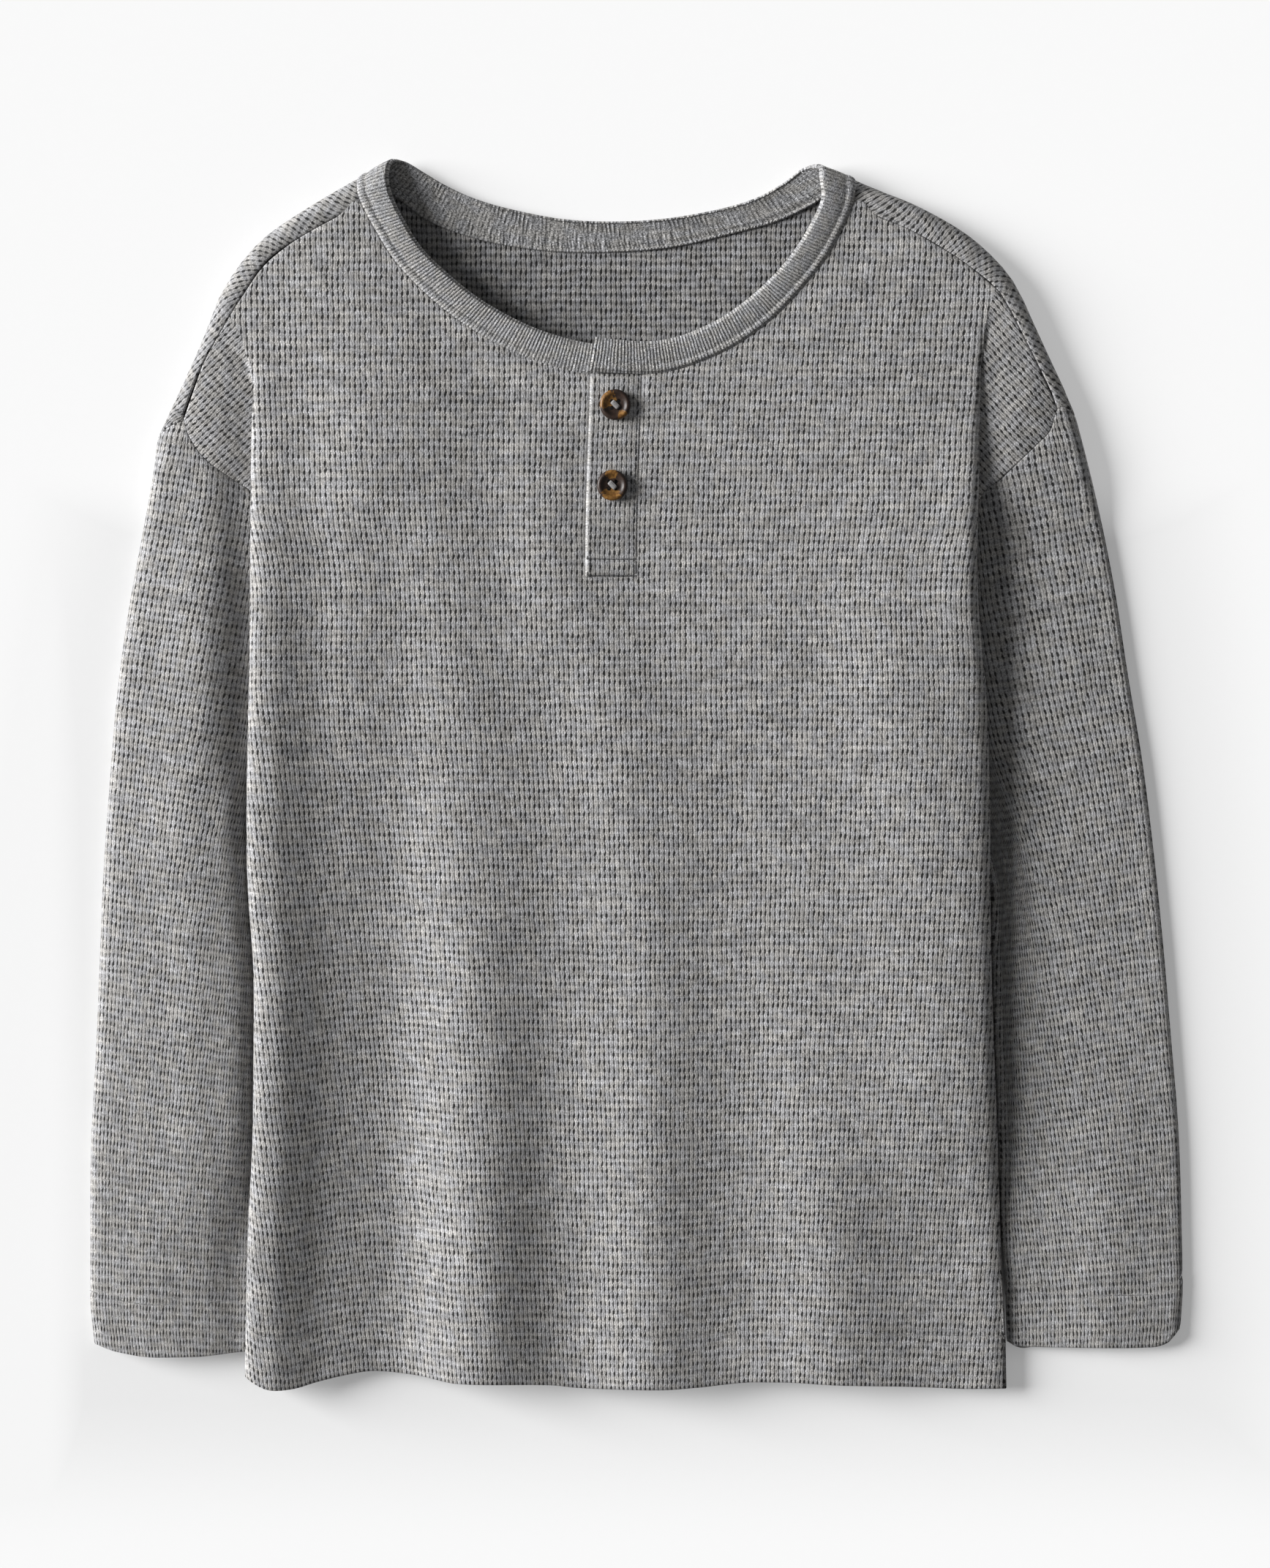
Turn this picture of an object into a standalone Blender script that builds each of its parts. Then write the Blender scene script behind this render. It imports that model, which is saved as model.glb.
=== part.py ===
"""A child's long-sleeved thermal top with a two-button placket, laid flat.

The front lies uppermost, the sleeves are drawn down beside the body and their inner edges
are tucked under its side folds.  Every cut piece is a wall of cloth of its own.

Tables are in millimetres.  `up` is the height above the lowest point of the hem, along the
garment, and `out` is the distance to one side of the middle of the whole layout.
"""
import bpy
import numpy as np

MM = 0.001
LENGTH = 486.6                # hem to the top of the neckband at the shoulder
CLOTH = 1.6                   # waffle knit
BAND_CLOTH = 1.8              # fine rib, folded double and pressed
PLACKET_CLOTH = 2.0           # waffle knit, folded double and pressed
SEAM_GAP = 0.4                # between two pieces that are sewn edge to edge
LAY_GAP = 0.35                # between a piece and the one that it lies on
FLOOR_LAYER = CLOTH / 2       # height of the middle of a wall that lies on the ground

UNDERARM = 265.0
SLEEVE_INNER_ROLL = 2.2       # radius of the sleeve's inner fold
TUCKED = FLOOR_LAYER + 2 * SLEEVE_INNER_ROLL
PLACKET_WIDTH = 20.0
PLACKET_FOOT = 320.7          # lower end of the overlap
SLOT_FOOT = 327.8             # lower end of the slot in the front
BUTTON_HEIGHTS = (388.8, 357.0)
BUTTON_PROFILE = ((0, 0), (4.6, 0), (5.7, 0.5), (6.1, 1.3), (5.7, 2.1), (4.9, 2.4), (4.1, 2.1),
                  (3.4, 1.7), (0, 1.6))           # radius, height
BUTTON_SIDES = 28
HOLE_RADIUS, HOLE_OFFSET, HOLE_SIDES = 0.85, 1.55, 10
LEFT, RIGHT = -1, 1           # sides as seen from above, with the neck at the top

LOWER_ROWS = (0, 30, 62, 95, 130, 165, 200, 233, UNDERARM)
UPPER_STEPS = 13              # rows from the underarm to the shoulder seam
SLOT_STEP = 6                 # the upper row at the slot's foot
FOLD_CORNERS = 9              # corners of the front's folded section at each side
FOLD_ROUNDING = 2             # points for each inner corner of a folded section

HEM = ((-154, 5), (-148, 0.5), (-139, 0), (-122, 4), (-104, 7), (-87, 5.5), (-70, 2.5),
       (-35, 1.7), (-20, 0.4), (9, 0), (26, 1), (46, 2.8), (58, 2.8), (80, 1.7), (110, 0.9),
       (131, 0), (147, 0))                                     # x, up
CENTRE_FRONT = ((0, -3.6), (200, -7), (328, -10), (401, -8))   # up, x
CHEST = ((0, 7.6), (60, 8.2), (150, 9.2), (300, 10.6), (400, 11))      # up, height
CHEST_RISE_WIDTH = 34.0       # the chest climbs to its side folds over this width

# Soft folds of the front: x at the hem, x where it fades, up where it fades, half width, height
CHEST_FOLDS = (
    (-66, -74, 300, 20, 3.2),
    (0, -12, 330, 22, 2.8),
    (64, 84, 340, 24, 1.3),
    (-97, -100, 250, 15, -0.8),
    (-27, -38, 280, 13, -0.7),
)

FOLD_EDGE = {                 # up, out: where the front turns under at each side
    LEFT: ((0, 154.6), (47, 154), (110, 151.6), (160, 151.4), (190, 153.4), (216, 154.3),
           (290, 153.1), (355, 152.6), (383, 152.2), (401, 151.4), (415, 152.8), (429.5, 157)),
    RIGHT: ((0, 147), (36, 146.2), (67, 144), (90, 143.3), (137, 141.5), (187, 140.1),
            (239, 139.8), (270, 138.6), (325, 134.8), (359, 135.5), (398, 136.2),
            (421, 136.8), (439, 138)),
}
INNER_TURN = {                # up, out: side seam below the underarm, inner fold above it
    LEFT: ((0, 128), (200, 126), (240, 124.8), (265, 124), (280, 125.5), (298, 128.5),
           (318, 132.5), (340, 137.5), (355, 141), (380, 147.5), (400, 152), (429.5, 161.5)),
    RIGHT: ((0, 121), (200, 115.5), (240, 114.8), (265, 114.5), (280, 115.5), (298, 117),
            (318, 119), (340, 121.5), (355, 124), (380, 130), (400, 135), (421, 138.6),
            (439, 142.5)),
}
FOLD_TOP = {LEFT: 429.5, RIGHT: 439.0}
BACK_SIDE = {                 # up, out: edge of the back below the underarm
    LEFT: ((0, 131), (150, 130), (230, 127), (265, 125.2)),
    RIGHT: ((0, 124), (150, 120.5), (230, 117.5), (265, 115.7)),
}
SLEEVE_OUTER = {              # up, out
    LEFT: ((15, 214.2), (35, 216.1), (79, 216.4), (148, 213.4), (200, 211.4), (253, 207.6),
           (287, 204.4), (322, 198.7), (357, 192.2), (375.3, 189.7), (384, 184)),
    RIGHT: ((16, 214.3), (35, 216.2), (79, 215.8), (148, 211.1), (200, 206.3), (253, 199.8),
            (287, 194), (322, 188.5), (357, 181), (374, 176.7), (384.3, 174), (391.8, 170.5)),
}
SLEEVE_INNER = {              # up, out
    LEFT: ((15, 148.2), (115, 147), (200, 142.5), (240, 134), (265, 126.6), (400, 126.6)),
    RIGHT: ((16, 150.1), (35, 148.7), (67, 148.3), (91, 148), (115, 148), (160, 145.5),
            (207, 139), (240, 127.5), (265, 117.1), (400, 117.1)),
}
CUFF = {                      # share across the sleeve from its outer edge, up
    LEFT: ((0, 17.7), (0.1, 15.1), (0.35, 12.6), (0.6, 12.8), (0.85, 14.5), (1, 15.3)),
    RIGHT: ((0, 22), (0.07, 17), (0.3, 16), (0.75, 16.2), (0.97, 16.8), (1, 18.5)),
}
ARMHOLE_FRONT = {             # share, up: from the outer edge over the upper layer to the underarm
    LEFT: ((0, 375.3), (0.017, 379.9), (0.09, 382.5), (0.215, 374.1), (0.31, 367.4),
           (0.43, 361.9), (0.56, 356.4), (0.6, 354.7), (0.7, 340), (0.81, 318), (0.89, 298),
           (0.94, 280), (0.965, 266.5), (1, 265)),
    RIGHT: ((0, 384.3), (0.03, 388.3), (0.1, 387.2), (0.161, 380.8), (0.323, 372.1),
            (0.484, 364.2), (0.641, 356.4), (0.704, 353.8), (0.78, 340), (0.855, 318),
            (0.915, 298), (0.95, 280), (0.968, 266.5), (1, 265)),
}
ARMHOLE_BACK = {              # share, up: the same ends, along the layer on the ground
    LEFT: ((0, 375.3), (0.05, 372.5), (0.2, 362), (0.4, 346), (0.6, 325), (0.8, 293),
           (0.92, 272), (0.965, 266), (1, 265)),
    RIGHT: ((0, 384.3), (0.05, 381), (0.2, 369), (0.4, 351), (0.6, 328), (0.8, 295),
            (0.92, 273), (0.968, 266), (1, 265)),
}
ARMHOLE_TIP = {LEFT: 0.09, RIGHT: 0.1}        # share where the shoulder seam meets the armhole
ARMHOLE_HIDES = {LEFT: (0.6, 354.7), RIGHT: (0.704, 353.8)}   # share, up: under the side fold
SLEEVE_ROLL = ((15, 2.7), (120, 3.4), (375, 3.4))             # up, radius of the outer fold
SLEEVE_LOFT = ((15, 0.3), (60, 1.2), (200, 2.2), (375, 1.2))  # up, rise over the outer fold
LOWER_SHARES = (0.86, 0.72, 0.56, 0.4, 0.24, 0.12)
ROLL_SHARES = (0.014, 0.047)                                  # round the outer fold
SLEEVE_ROWS = (0, 0.04, 0.12, 0.22, 0.32, 0.42, 0.52, 0.62, 0.72, 0.81, 0.89, 0.95, 1)

SHOULDER = {                  # share from the tip, edge out, edge up, seam out, seam up, roll
    LEFT: ((0, 189.8, 375.2, 179.5, 382.5, 3.4), (0.15, 183.9, 388.3, 178.9, 386.3, 3.4),
           (0.3, 177.8, 401.5, 173.9, 399.9, 3.5), (0.45, 171.2, 416.5, 166.6, 414.3, 3.6),
           (0.6, 165.4, 431.5, 158.6, 427.6, 3.8), (0.75, 150.5, 452.5, 145.8, 446.4, 4.1),
           (0.88, 130.5, 467, 126.5, 458.9, 4.3), (1, 112, 478, 108.8, 467.8, 4.4)),
    RIGHT: ((0, 174, 384.3, 167.2, 387.2, 3.4), (0.15, 169.2, 396, 164.3, 393.8, 3.4),
            (0.3, 163.2, 408.8, 158.2, 406.2, 3.6), (0.45, 157, 422.2, 152.1, 418.2, 3.8),
            (0.6, 149, 438.5, 143.7, 433.5, 4), (0.75, 135.5, 453, 131, 444.3, 4.2),
            (0.88, 113, 467, 110, 457.3, 4.4), (1, 87.8, 478, 85.6, 466.9, 4.4)),
}
SHOULDER_COLUMNS = (0, 0.15, 0.3, 0.45, 0.6, 0.75, 0.88, 1)

# Neckband sections: seam x, seam up, seam height, free edge x, free edge up, free edge height
NECKBAND = (
    (1.5, 401.2, 9.9, 2, 412.6, 10.6), (-8.5, 400.9, 10.5, -7.5, 412.3, 11.2),
    (-19.7, 401.1, 11, -17.5, 412.7, 11.8), (-36.5, 405.4, 11.1, -32.5, 416.2, 11.9),
    (-53.1, 412.1, 11.1, -47, 422, 12), (-69.6, 422, 11, -61.5, 430.2, 12),
    (-82.9, 432.7, 10.8, -73.8, 439.8, 12), (-94.8, 445.2, 10.4, -84.8, 450.5, 11.9),
    (-103, 458, 10, -92, 461.8, 11.8), (-108.3, 468, 9.6, -96.3, 470.6, 11.6),
    (-110.3, 474.3, 8.6, -98.2, 478.4, 11), (-109.3, 478.4, 5.2, -96.8, 485.4, 7.6),
    (-102, 476, 2.8, -91.6, 485.2, 4.2), (-93.1, 470.1, 2.2, -84.3, 481, 3.4),
    (-83, 462.6, 2, -75.5, 475.8, 3.1), (-69.6, 457.2, 2, -64, 470.6, 3),
    (-53.1, 452.9, 2, -49.5, 466.4, 3), (-31, 450.1, 2, -29.5, 462.6, 3),
    (-8, 450, 2, -8.7, 461.6, 3), (15, 452, 2, 12.5, 462.9, 3),
    (38.6, 457.4, 2, 34, 466.8, 3), (55, 461.9, 2, 48, 471.2, 3.1),
    (68.3, 467.9, 2.2, 58.5, 477, 3.5), (78.5, 474.2, 2.9, 66, 482.6, 4.6),
    (85.6, 477.9, 5.4, 71.8, 483.4, 7.8), (86.3, 473.8, 8.8, 72.6, 478.6, 11.2),
    (84.9, 466.9, 9.8, 73.2, 470.2, 11.8), (80.8, 457.6, 10.3, 69.6, 461.5, 12),
    (74.6, 446.6, 10.7, 63.6, 451.3, 12), (66, 435.8, 10.9, 56, 441.6, 12),
    (54, 423.2, 11, 46.2, 432.2, 12), (38.6, 412.1, 11.1, 33.4, 422.9, 12),
    (21.8, 404.6, 11.2, 18.6, 416.2, 12), (10, 401.6, 11.6, 8.5, 413.9, 12.3),
    (2, 401.2, 12.2, 1, 413.6, 12.9), (-8.5, 401.6, 12.9, -7.6, 414.2, 13.6),
    (-18.3, 402.3, 13.3, -15.9, 415.2, 14),
)
BAND_AT_PLACKET = {LEFT: 1.86, RIGHT: 34.0}   # section beside the slot
BAND_AT_SHOULDER = {LEFT: 9.0, RIGHT: 26.0}   # section where the shoulder seam ends
BAND_AT_BACK = {LEFT: 12.6, RIGHT: 23.4}      # section where the back leaves its shoulder roll
BAND_STEPS = 2                                # steps from one section to the next
SHOULDER_END_GAP = 0.07                       # sections between the two panels at the neck
BACK_NECK_STEPS = 16

SLEEVE_NAMES = {LEFT: "sleeve_right", RIGHT: "sleeve_left"}   # the wearer's sides


def smooth(rows):
    """Monotone cubic through (key, value) rows, constant beyond both ends."""
    keys, values = (np.array(column, float) for column in zip(*rows))
    slope = np.diff(values) / np.diff(keys)
    product = slope[1:] * slope[:-1]
    total = np.where(product > 0, slope[1:] + slope[:-1], 1)
    tangent = np.concatenate([slope[:1], np.where(product > 0, 2 * product / total, 0), slope[-1:]])

    def read(key):
        key = np.clip(key, keys[0], keys[-1])
        left = np.clip(np.searchsorted(keys, key, side="right") - 1, 0, len(keys) - 2)
        width = keys[left + 1] - keys[left]
        t = (key - keys[left]) / width
        return ((1 + 2 * t) * (1 - t) ** 2 * values[left] + t * (1 - t) ** 2 * width * tangent[left]
                + t * t * (3 - 2 * t) * values[left + 1] - t * t * (1 - t) * width * tangent[left + 1])
    return read


def per_side(tables):
    return {side: smooth(rows) for side, rows in tables.items()}


hem_up = smooth(HEM)
centre_front = smooth(CENTRE_FRONT)
chest_height = smooth(CHEST)
fold_edge = per_side(FOLD_EDGE)
inner_turn = per_side(INNER_TURN)
back_side = per_side(BACK_SIDE)
sleeve_outer = per_side(SLEEVE_OUTER)
sleeve_inner = per_side(SLEEVE_INNER)
cuff_up = per_side(CUFF)
armhole_front = per_side(ARMHOLE_FRONT)
armhole_back = per_side(ARMHOLE_BACK)
sleeve_roll = smooth(SLEEVE_ROLL)
sleeve_loft = smooth(SLEEVE_LOFT)


def ease(value):
    value = np.clip(value, 0, 1)
    return value * value * (3 - 2 * value)


def unit(vector):
    return vector / np.linalg.norm(vector)


def rounded(corners):
    """Quadratic spline that starts and ends on the first and last corner."""
    corners = np.asarray(corners, float)
    joints = np.vstack([corners[:1], (corners[1:-2] + corners[2:-1]) / 2, corners[-1:]])
    points = [joints[0]]
    for start, corner, end in zip(joints, corners[1:-1], joints[1:]):
        for step in range(1, FOLD_ROUNDING + 1):
            t = step / FOLD_ROUNDING
            points.append((1 - t) ** 2 * start + 2 * t * (1 - t) * corner + t * t * end)
    return np.array(points)


# ---- Neckband and the neck edge that the panels share ----

def neck_section(place):
    """Seam edge and free edge of the band at a place counted in sections."""
    sections = np.array(NECKBAND, float)
    first = int(np.clip(np.floor(place), 0, len(sections) - 2))
    t = place - first
    near = [sections[int(np.clip(first + k, 0, len(sections) - 1))] for k in (-1, 0, 1, 2)]
    point = 0.5 * (2 * near[1] + (near[2] - near[0]) * t
                   + (2 * near[0] - 5 * near[1] + 4 * near[2] - near[3]) * t ** 2
                   + (3 * near[1] - near[0] - 3 * near[2] + near[3]) * t ** 3)
    return point[:3], point[3:]


def neck_edge(place):
    """Edge of a panel beside the band's seam."""
    seam, free = neck_section(place)
    return seam - SEAM_GAP * unit(free - seam)


# ---- Heights of the laid garment ----

def chest(x, up):
    """Height of the front between its side folds."""
    height = chest_height(up)
    for x_hem, x_fade, fade, width, rise in CHEST_FOLDS:
        middle = x_hem + (x_fade - x_hem) * np.clip(up / fade, 0, 1)
        height = height + rise * (1 - ease(up / fade)) * np.exp(-((x - middle) / width) ** 2)
    for side in (LEFT, RIGHT):
        inside = fold_edge[side](up) - side * x - CLOTH / 2
        rise = fold_top_height(side, up) - chest_height(up)
        height = height + rise * (1 - ease(inside / CHEST_RISE_WIDTH))
    return height


def fold_top_height(side, up):
    share = np.clip((up - UNDERARM) / (FOLD_TOP[side] - UNDERARM), 0, 1)
    if side == LEFT:
        low = 12.4 + 2.0 * ease(up / 60)
    else:
        low = 11.4 + 3.0 * ease(up / 200)
    return low + (9.0 - low) * ease(share)


def shoulder(side, share, column):
    table = SHOULDER[side]
    return smooth([(row[0], row[column]) for row in table])(share)


def sleeve_top(side, out, up):
    """Height of the sleeve's upper layer, and of the front beyond its side fold."""
    from_outer = sleeve_outer[side](up) - CLOTH / 2 - out
    roll = sleeve_roll(up)
    crest = FLOOR_LAYER + 2 * roll + sleeve_loft(up) * (1 - np.exp(-np.maximum(from_outer - roll, 0) / 14))
    plateau = TUCKED + (crest - TUCKED) * ease((out - fold_edge[side](up)) / 18)
    if from_outer >= roll:
        return plateau
    inset = roll - max(from_outer, 0)
    return plateau - roll + np.sqrt(roll ** 2 - inset ** 2)


# ---- Sleeves ----

def sleeve_shares(side):
    """Shares round the sleeve: upper layer from the outer edge inwards, then back below."""
    hides, hides_up = ARMHOLE_HIDES[side]
    tip = ARMHOLE_TIP[side]
    upper = []
    for step in range(UPPER_STEPS + 1):
        v = step / UPPER_STEPS
        up = UNDERARM + v * (FOLD_TOP[side] - UNDERARM)
        if up < hides_up:
            rows = [row for row in ARMHOLE_FRONT[side] if row[0] >= hides]
            share = np.interp(up, [row[1] for row in rows][::-1], [row[0] for row in rows][::-1])
            share = min(share, 0.965)
        else:
            share = hides + (tip - hides) * (up - hides_up) / (FOLD_TOP[side] - hides_up)
        upper.append(float(share))
    return upper[::-1]


def sleeve_point(side, share, up, over):
    """A point of the sleeve's wall, on its upper or its lower layer."""
    outer = sleeve_outer[side](up) - CLOTH / 2
    inner = sleeve_inner[side](up)
    out = outer + share * (inner - outer)
    width = outer - inner
    from_outer, from_inner = share * width, (1 - share) * width
    roll, inner_roll = sleeve_roll(up), SLEEVE_INNER_ROLL
    if over:
        height = sleeve_top(side, out, up)
        if from_inner < inner_roll:
            inset = inner_roll - from_inner
            height = height - inner_roll + np.sqrt(inner_roll ** 2 - inset ** 2)
    else:
        height = FLOOR_LAYER
        for distance, radius in ((from_outer, roll), (from_inner, inner_roll)):
            if distance < radius:
                height += radius - np.sqrt(radius ** 2 - (radius - distance) ** 2)
    return np.array([side * out, up, height])


def sleeve_ring(side):
    """(share, on the upper layer) once round the sleeve, from its outer edge."""
    inner_round = (0.992, 1.0, 0.992)
    ring = [(0.0, True)] + [(share, True) for share in ROLL_SHARES]
    ring += [(share, True) for share in sleeve_shares(side)]
    ring += [(inner_round[0], True), (inner_round[1], True), (inner_round[2], False)]
    ring += [(sleeve_shares(side)[-1], False)]
    ring += [(share, False) for share in LOWER_SHARES]
    ring += [(share, False) for share in reversed(ROLL_SHARES)]
    return ring


def make_sleeve(side):
    ring = sleeve_ring(side)
    grid = []
    for row in SLEEVE_ROWS:
        line = []
        for share, over in ring:
            top = (armhole_front if over else armhole_back)[side](share)
            up = cuff_up[side](share) + row * (top - cuff_up[side](share))
            line.append(sleeve_point(side, share, up, over))
        grid.append(line)
    grid = np.array(grid)
    return wall(SLEEVE_NAMES[side], grid, CLOTH, around=True, flip=side == RIGHT)


def armhole_edge(side, share, over):
    """Edge of a body panel beside the sleeve's armhole seam."""
    def on_seam(turned):
        upper = turned >= 0
        curve = (armhole_front if upper else armhole_back)[side]
        share = min(abs(turned), 1)
        return sleeve_point(side, share, curve(share), upper), share, curve(share), upper

    turned = share if over else -share
    spot, share, up, upper = on_seam(turned)
    along = unit(on_seam(turned + 0.004)[0] - on_seam(turned - 0.004)[0])
    lengthwise = unit(sleeve_point(side, share, up + 1, upper) - sleeve_point(side, share, up - 1, upper))
    across = unit(lengthwise - np.dot(lengthwise, along) * along)
    return spot + (SEAM_GAP + 0.4 * (1 - ease(share / 0.06))) * across


# ---- Front ----

def shoulder_seam(side, share, toward_front):
    """A point beside the shoulder seam, on the front's side or on the back's."""
    edge = np.array([side * shoulder(side, share, 1), shoulder(side, share, 2)])
    seam = np.array([side * shoulder(side, share, 3), shoulder(side, share, 4)])
    inward = unit(seam - edge)
    roll = shoulder(side, share, 5)
    spot = seam + inward * (SEAM_GAP / 2 if toward_front else -SEAM_GAP / 2)
    inset = np.clip(roll + CLOTH / 2 - np.dot(spot - edge, inward), 0, roll)
    return np.array([spot[0], spot[1], FLOOR_LAYER + roll + np.sqrt(roll ** 2 - inset ** 2)])


def shoulder_tip(side, toward_front):
    """Where the shoulder seam meets the armhole, moved to the front's or the back's side."""
    seam, edge = (np.array([side * shoulder(side, 0, k), shoulder(side, 0, k + 1)]) for k in (3, 1))
    shift = unit(seam - edge) * (SEAM_GAP / 2 if toward_front else -SEAM_GAP / 2)
    return armhole_edge(side, ARMHOLE_TIP[side], True) + np.array([*shift, 0])


def nearest_on_seam(side, out):
    """The front's point on the shoulder seam at a distance from the middle."""
    seam = np.array([shoulder_seam(side, share, True) for share in SHOULDER_COLUMNS])
    order = np.argsort(side * seam[:, 0])
    return np.array([np.interp(out, side * seam[order, 0], seam[order, k]) for k in range(3)])


def side_section(side, v, up_lower, edge_point, top_start):
    """Section of one side of the front, from its sewn edge round the fold to the chest.

    Below the underarm v is 0 and up_lower is the height; above it v runs from 0 to 1.
    """
    lower = up_lower is not None
    top = FOLD_TOP[side]
    up = up_lower if lower else UNDERARM + v * (top - UNDERARM)
    up_start = up_lower if lower else UNDERARM + v * (top_start - UNDERARM)
    turn = inner_turn[side](up)
    edge = fold_edge[side](up) - CLOTH / 2
    crown = fold_top_height(side, up)
    if lower:
        back = 7.1 if side == LEFT else 4.2 + 3.0 * ease((up - 60) / 140)
    else:
        back = 7.4 + 0.3 * ease(v / 0.55) + 1.2 * ease((v - 0.55) / 0.45)
    tucked = max(edge - turn, 0)       # the fold lies over the layer below by this much
    apart = max(turn - edge, 0)        # or the step between the two is still open by this much
    if lower:
        hanging = ease((up - 200) / (UNDERARM - 200))
        seam_height = 2.7 + 2.2 * hanging
        corners = [
            (turn - 0.2 * hanging, up, seam_height),
            (turn + 2 - 2 * hanging, up, seam_height + 0.1 + 0.7 * hanging),
            (turn + 4 - 4 * hanging, up, seam_height + 0.5 + 1.2 * hanging),
            (turn + 9 - 7.5 * hanging, up, back - 0.1),
        ]
    else:
        valley = 5.1 + 0.3 * ease(v / 0.5) + 3.4 * ease((v - 0.5) / 0.5)
        held = np.array([side * edge_point[0], edge_point[1], edge_point[2]])
        inner = np.array([turn, up, valley])
        corners = [held, (held + inner) / 2, inner, (turn - 0.2 * apart, up, back)]
    bend = edge - min(7.0, tucked / 3) + 0.4 * apart
    corners += [
        ((corners[-1][0] + bend) / 2, up, back),
        (bend, up, back),
        (edge + 0.2 * apart, up, back),
        (edge, up, crown),
        (edge - 7, up_start, crown),
    ]
    points = rounded(corners)
    points[:, 0] *= side
    return points


def make_front():
    sides = (LEFT, RIGHT)
    tops = {}
    for side in sides:
        start_out = fold_edge[side](FOLD_TOP[side]) - CLOTH / 2 - 7
        start = nearest_on_seam(side, start_out)
        start_place, end_place = BAND_AT_SHOULDER[side], BAND_AT_PLACKET[side]
        step = np.sign(end_place - start_place) / BAND_STEPS
        neck = [neck_edge(place) for place in np.arange(start_place, end_place, step)]
        neck.append(neck_edge(end_place))
        neck_out = side * neck[0][0]
        along = [nearest_on_seam(side, out)
                 for out in np.linspace(start_out, neck_out, 5)[1:-1]]
        slot_x = centre_front(401) + side * PLACKET_WIDTH / 2
        corner = np.array([slot_x, neck[-1][1], chest(slot_x, neck[-1][1])])
        tops[side] = [start] + along + neck[:-1] + [corner]
    across = len(tops[LEFT])
    bridge = [tops[LEFT][-1] + (tops[RIGHT][-1] - tops[LEFT][-1]) * k / 3 for k in (1, 2)]
    crest = tops[LEFT] + bridge + tops[RIGHT][::-1]
    edges = {side: [armhole_edge(side, share, True) for share in sleeve_shares(side)[::-1][:-1]]
             + [shoulder_tip(side, True)] for side in sides}

    def chest_row(share_up, limits):
        """Points across the chest; share_up gives the height for a column's top."""
        line = []
        for index, top in enumerate(crest):
            up = share_up(top)
            middle = centre_front(up)
            if across <= index < across + 2:
                first = middle - PLACKET_WIDTH / 2
                last = middle + PLACKET_WIDTH / 2
                part = (index - across + 1) / 3
            else:
                side = LEFT if index < across else RIGHT
                line_top = tops[side]
                column = index if side == LEFT else len(crest) - 1 - index
                first = limits[side]
                last = middle + side * PLACKET_WIDTH / 2
                part = (line_top[column][0] - line_top[0][0]) / (line_top[-1][0] - line_top[0][0])
            x = first + part * (last - first)
            line.append(np.array([x, up, chest(x, up)]))
        return line

    rows = []
    for height in LOWER_ROWS[:-1]:
        wave = 1 - height / UNDERARM
        sections = {side: side_section(side, 0, height, None, 0) for side in sides}
        limits = {side: sections[side][-1][0] for side in sides}
        line = chest_row(lambda top: float(height), limits)
        row = list(sections[LEFT][:-1]) + line + list(sections[RIGHT][:-1][::-1])
        for point in row:
            point[1] += wave * hem_up(point[0])
        rows.append(row)
    for step in range(UPPER_STEPS + 1):
        v = step / UPPER_STEPS
        sections = {}
        for side in sides:
            if step == 0:
                sections[side] = side_section(side, 0, UNDERARM, None, 0)
            else:
                sections[side] = side_section(side, v, None, edges[side][step], tops[side][0][1])
        limits = {side: sections[side][-1][0] for side in sides}
        line = chest_row(lambda top: UNDERARM + v * (top[1] - UNDERARM), limits)
        for point, top in zip(line, crest):
            surplus = top[2] - chest(top[0], top[1])
            point[2] += surplus * v ** 8
        if step == UPPER_STEPS:
            line = [top.copy() for top in crest]
            for side in sides:
                section = sections[side]
                for index in range(1, len(section) - 1):
                    section[index] = nearest_on_seam(side, side * section[index][0])
        rows.append(list(sections[LEFT][:-1]) + line + list(sections[RIGHT][:-1][::-1]))
    grid = np.array(rows)
    keep = np.ones((grid.shape[0] - 1, grid.shape[1] - 1), bool)
    slot_row = len(LOWER_ROWS) - 1 + SLOT_STEP
    slot_column = FOLD_ROUNDING * (FOLD_CORNERS - 2) + across - 1
    keep[slot_row:, slot_column:slot_column + 3] = False
    return wall("front", grid, CLOTH, keep=keep)


# ---- Back ----

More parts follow.
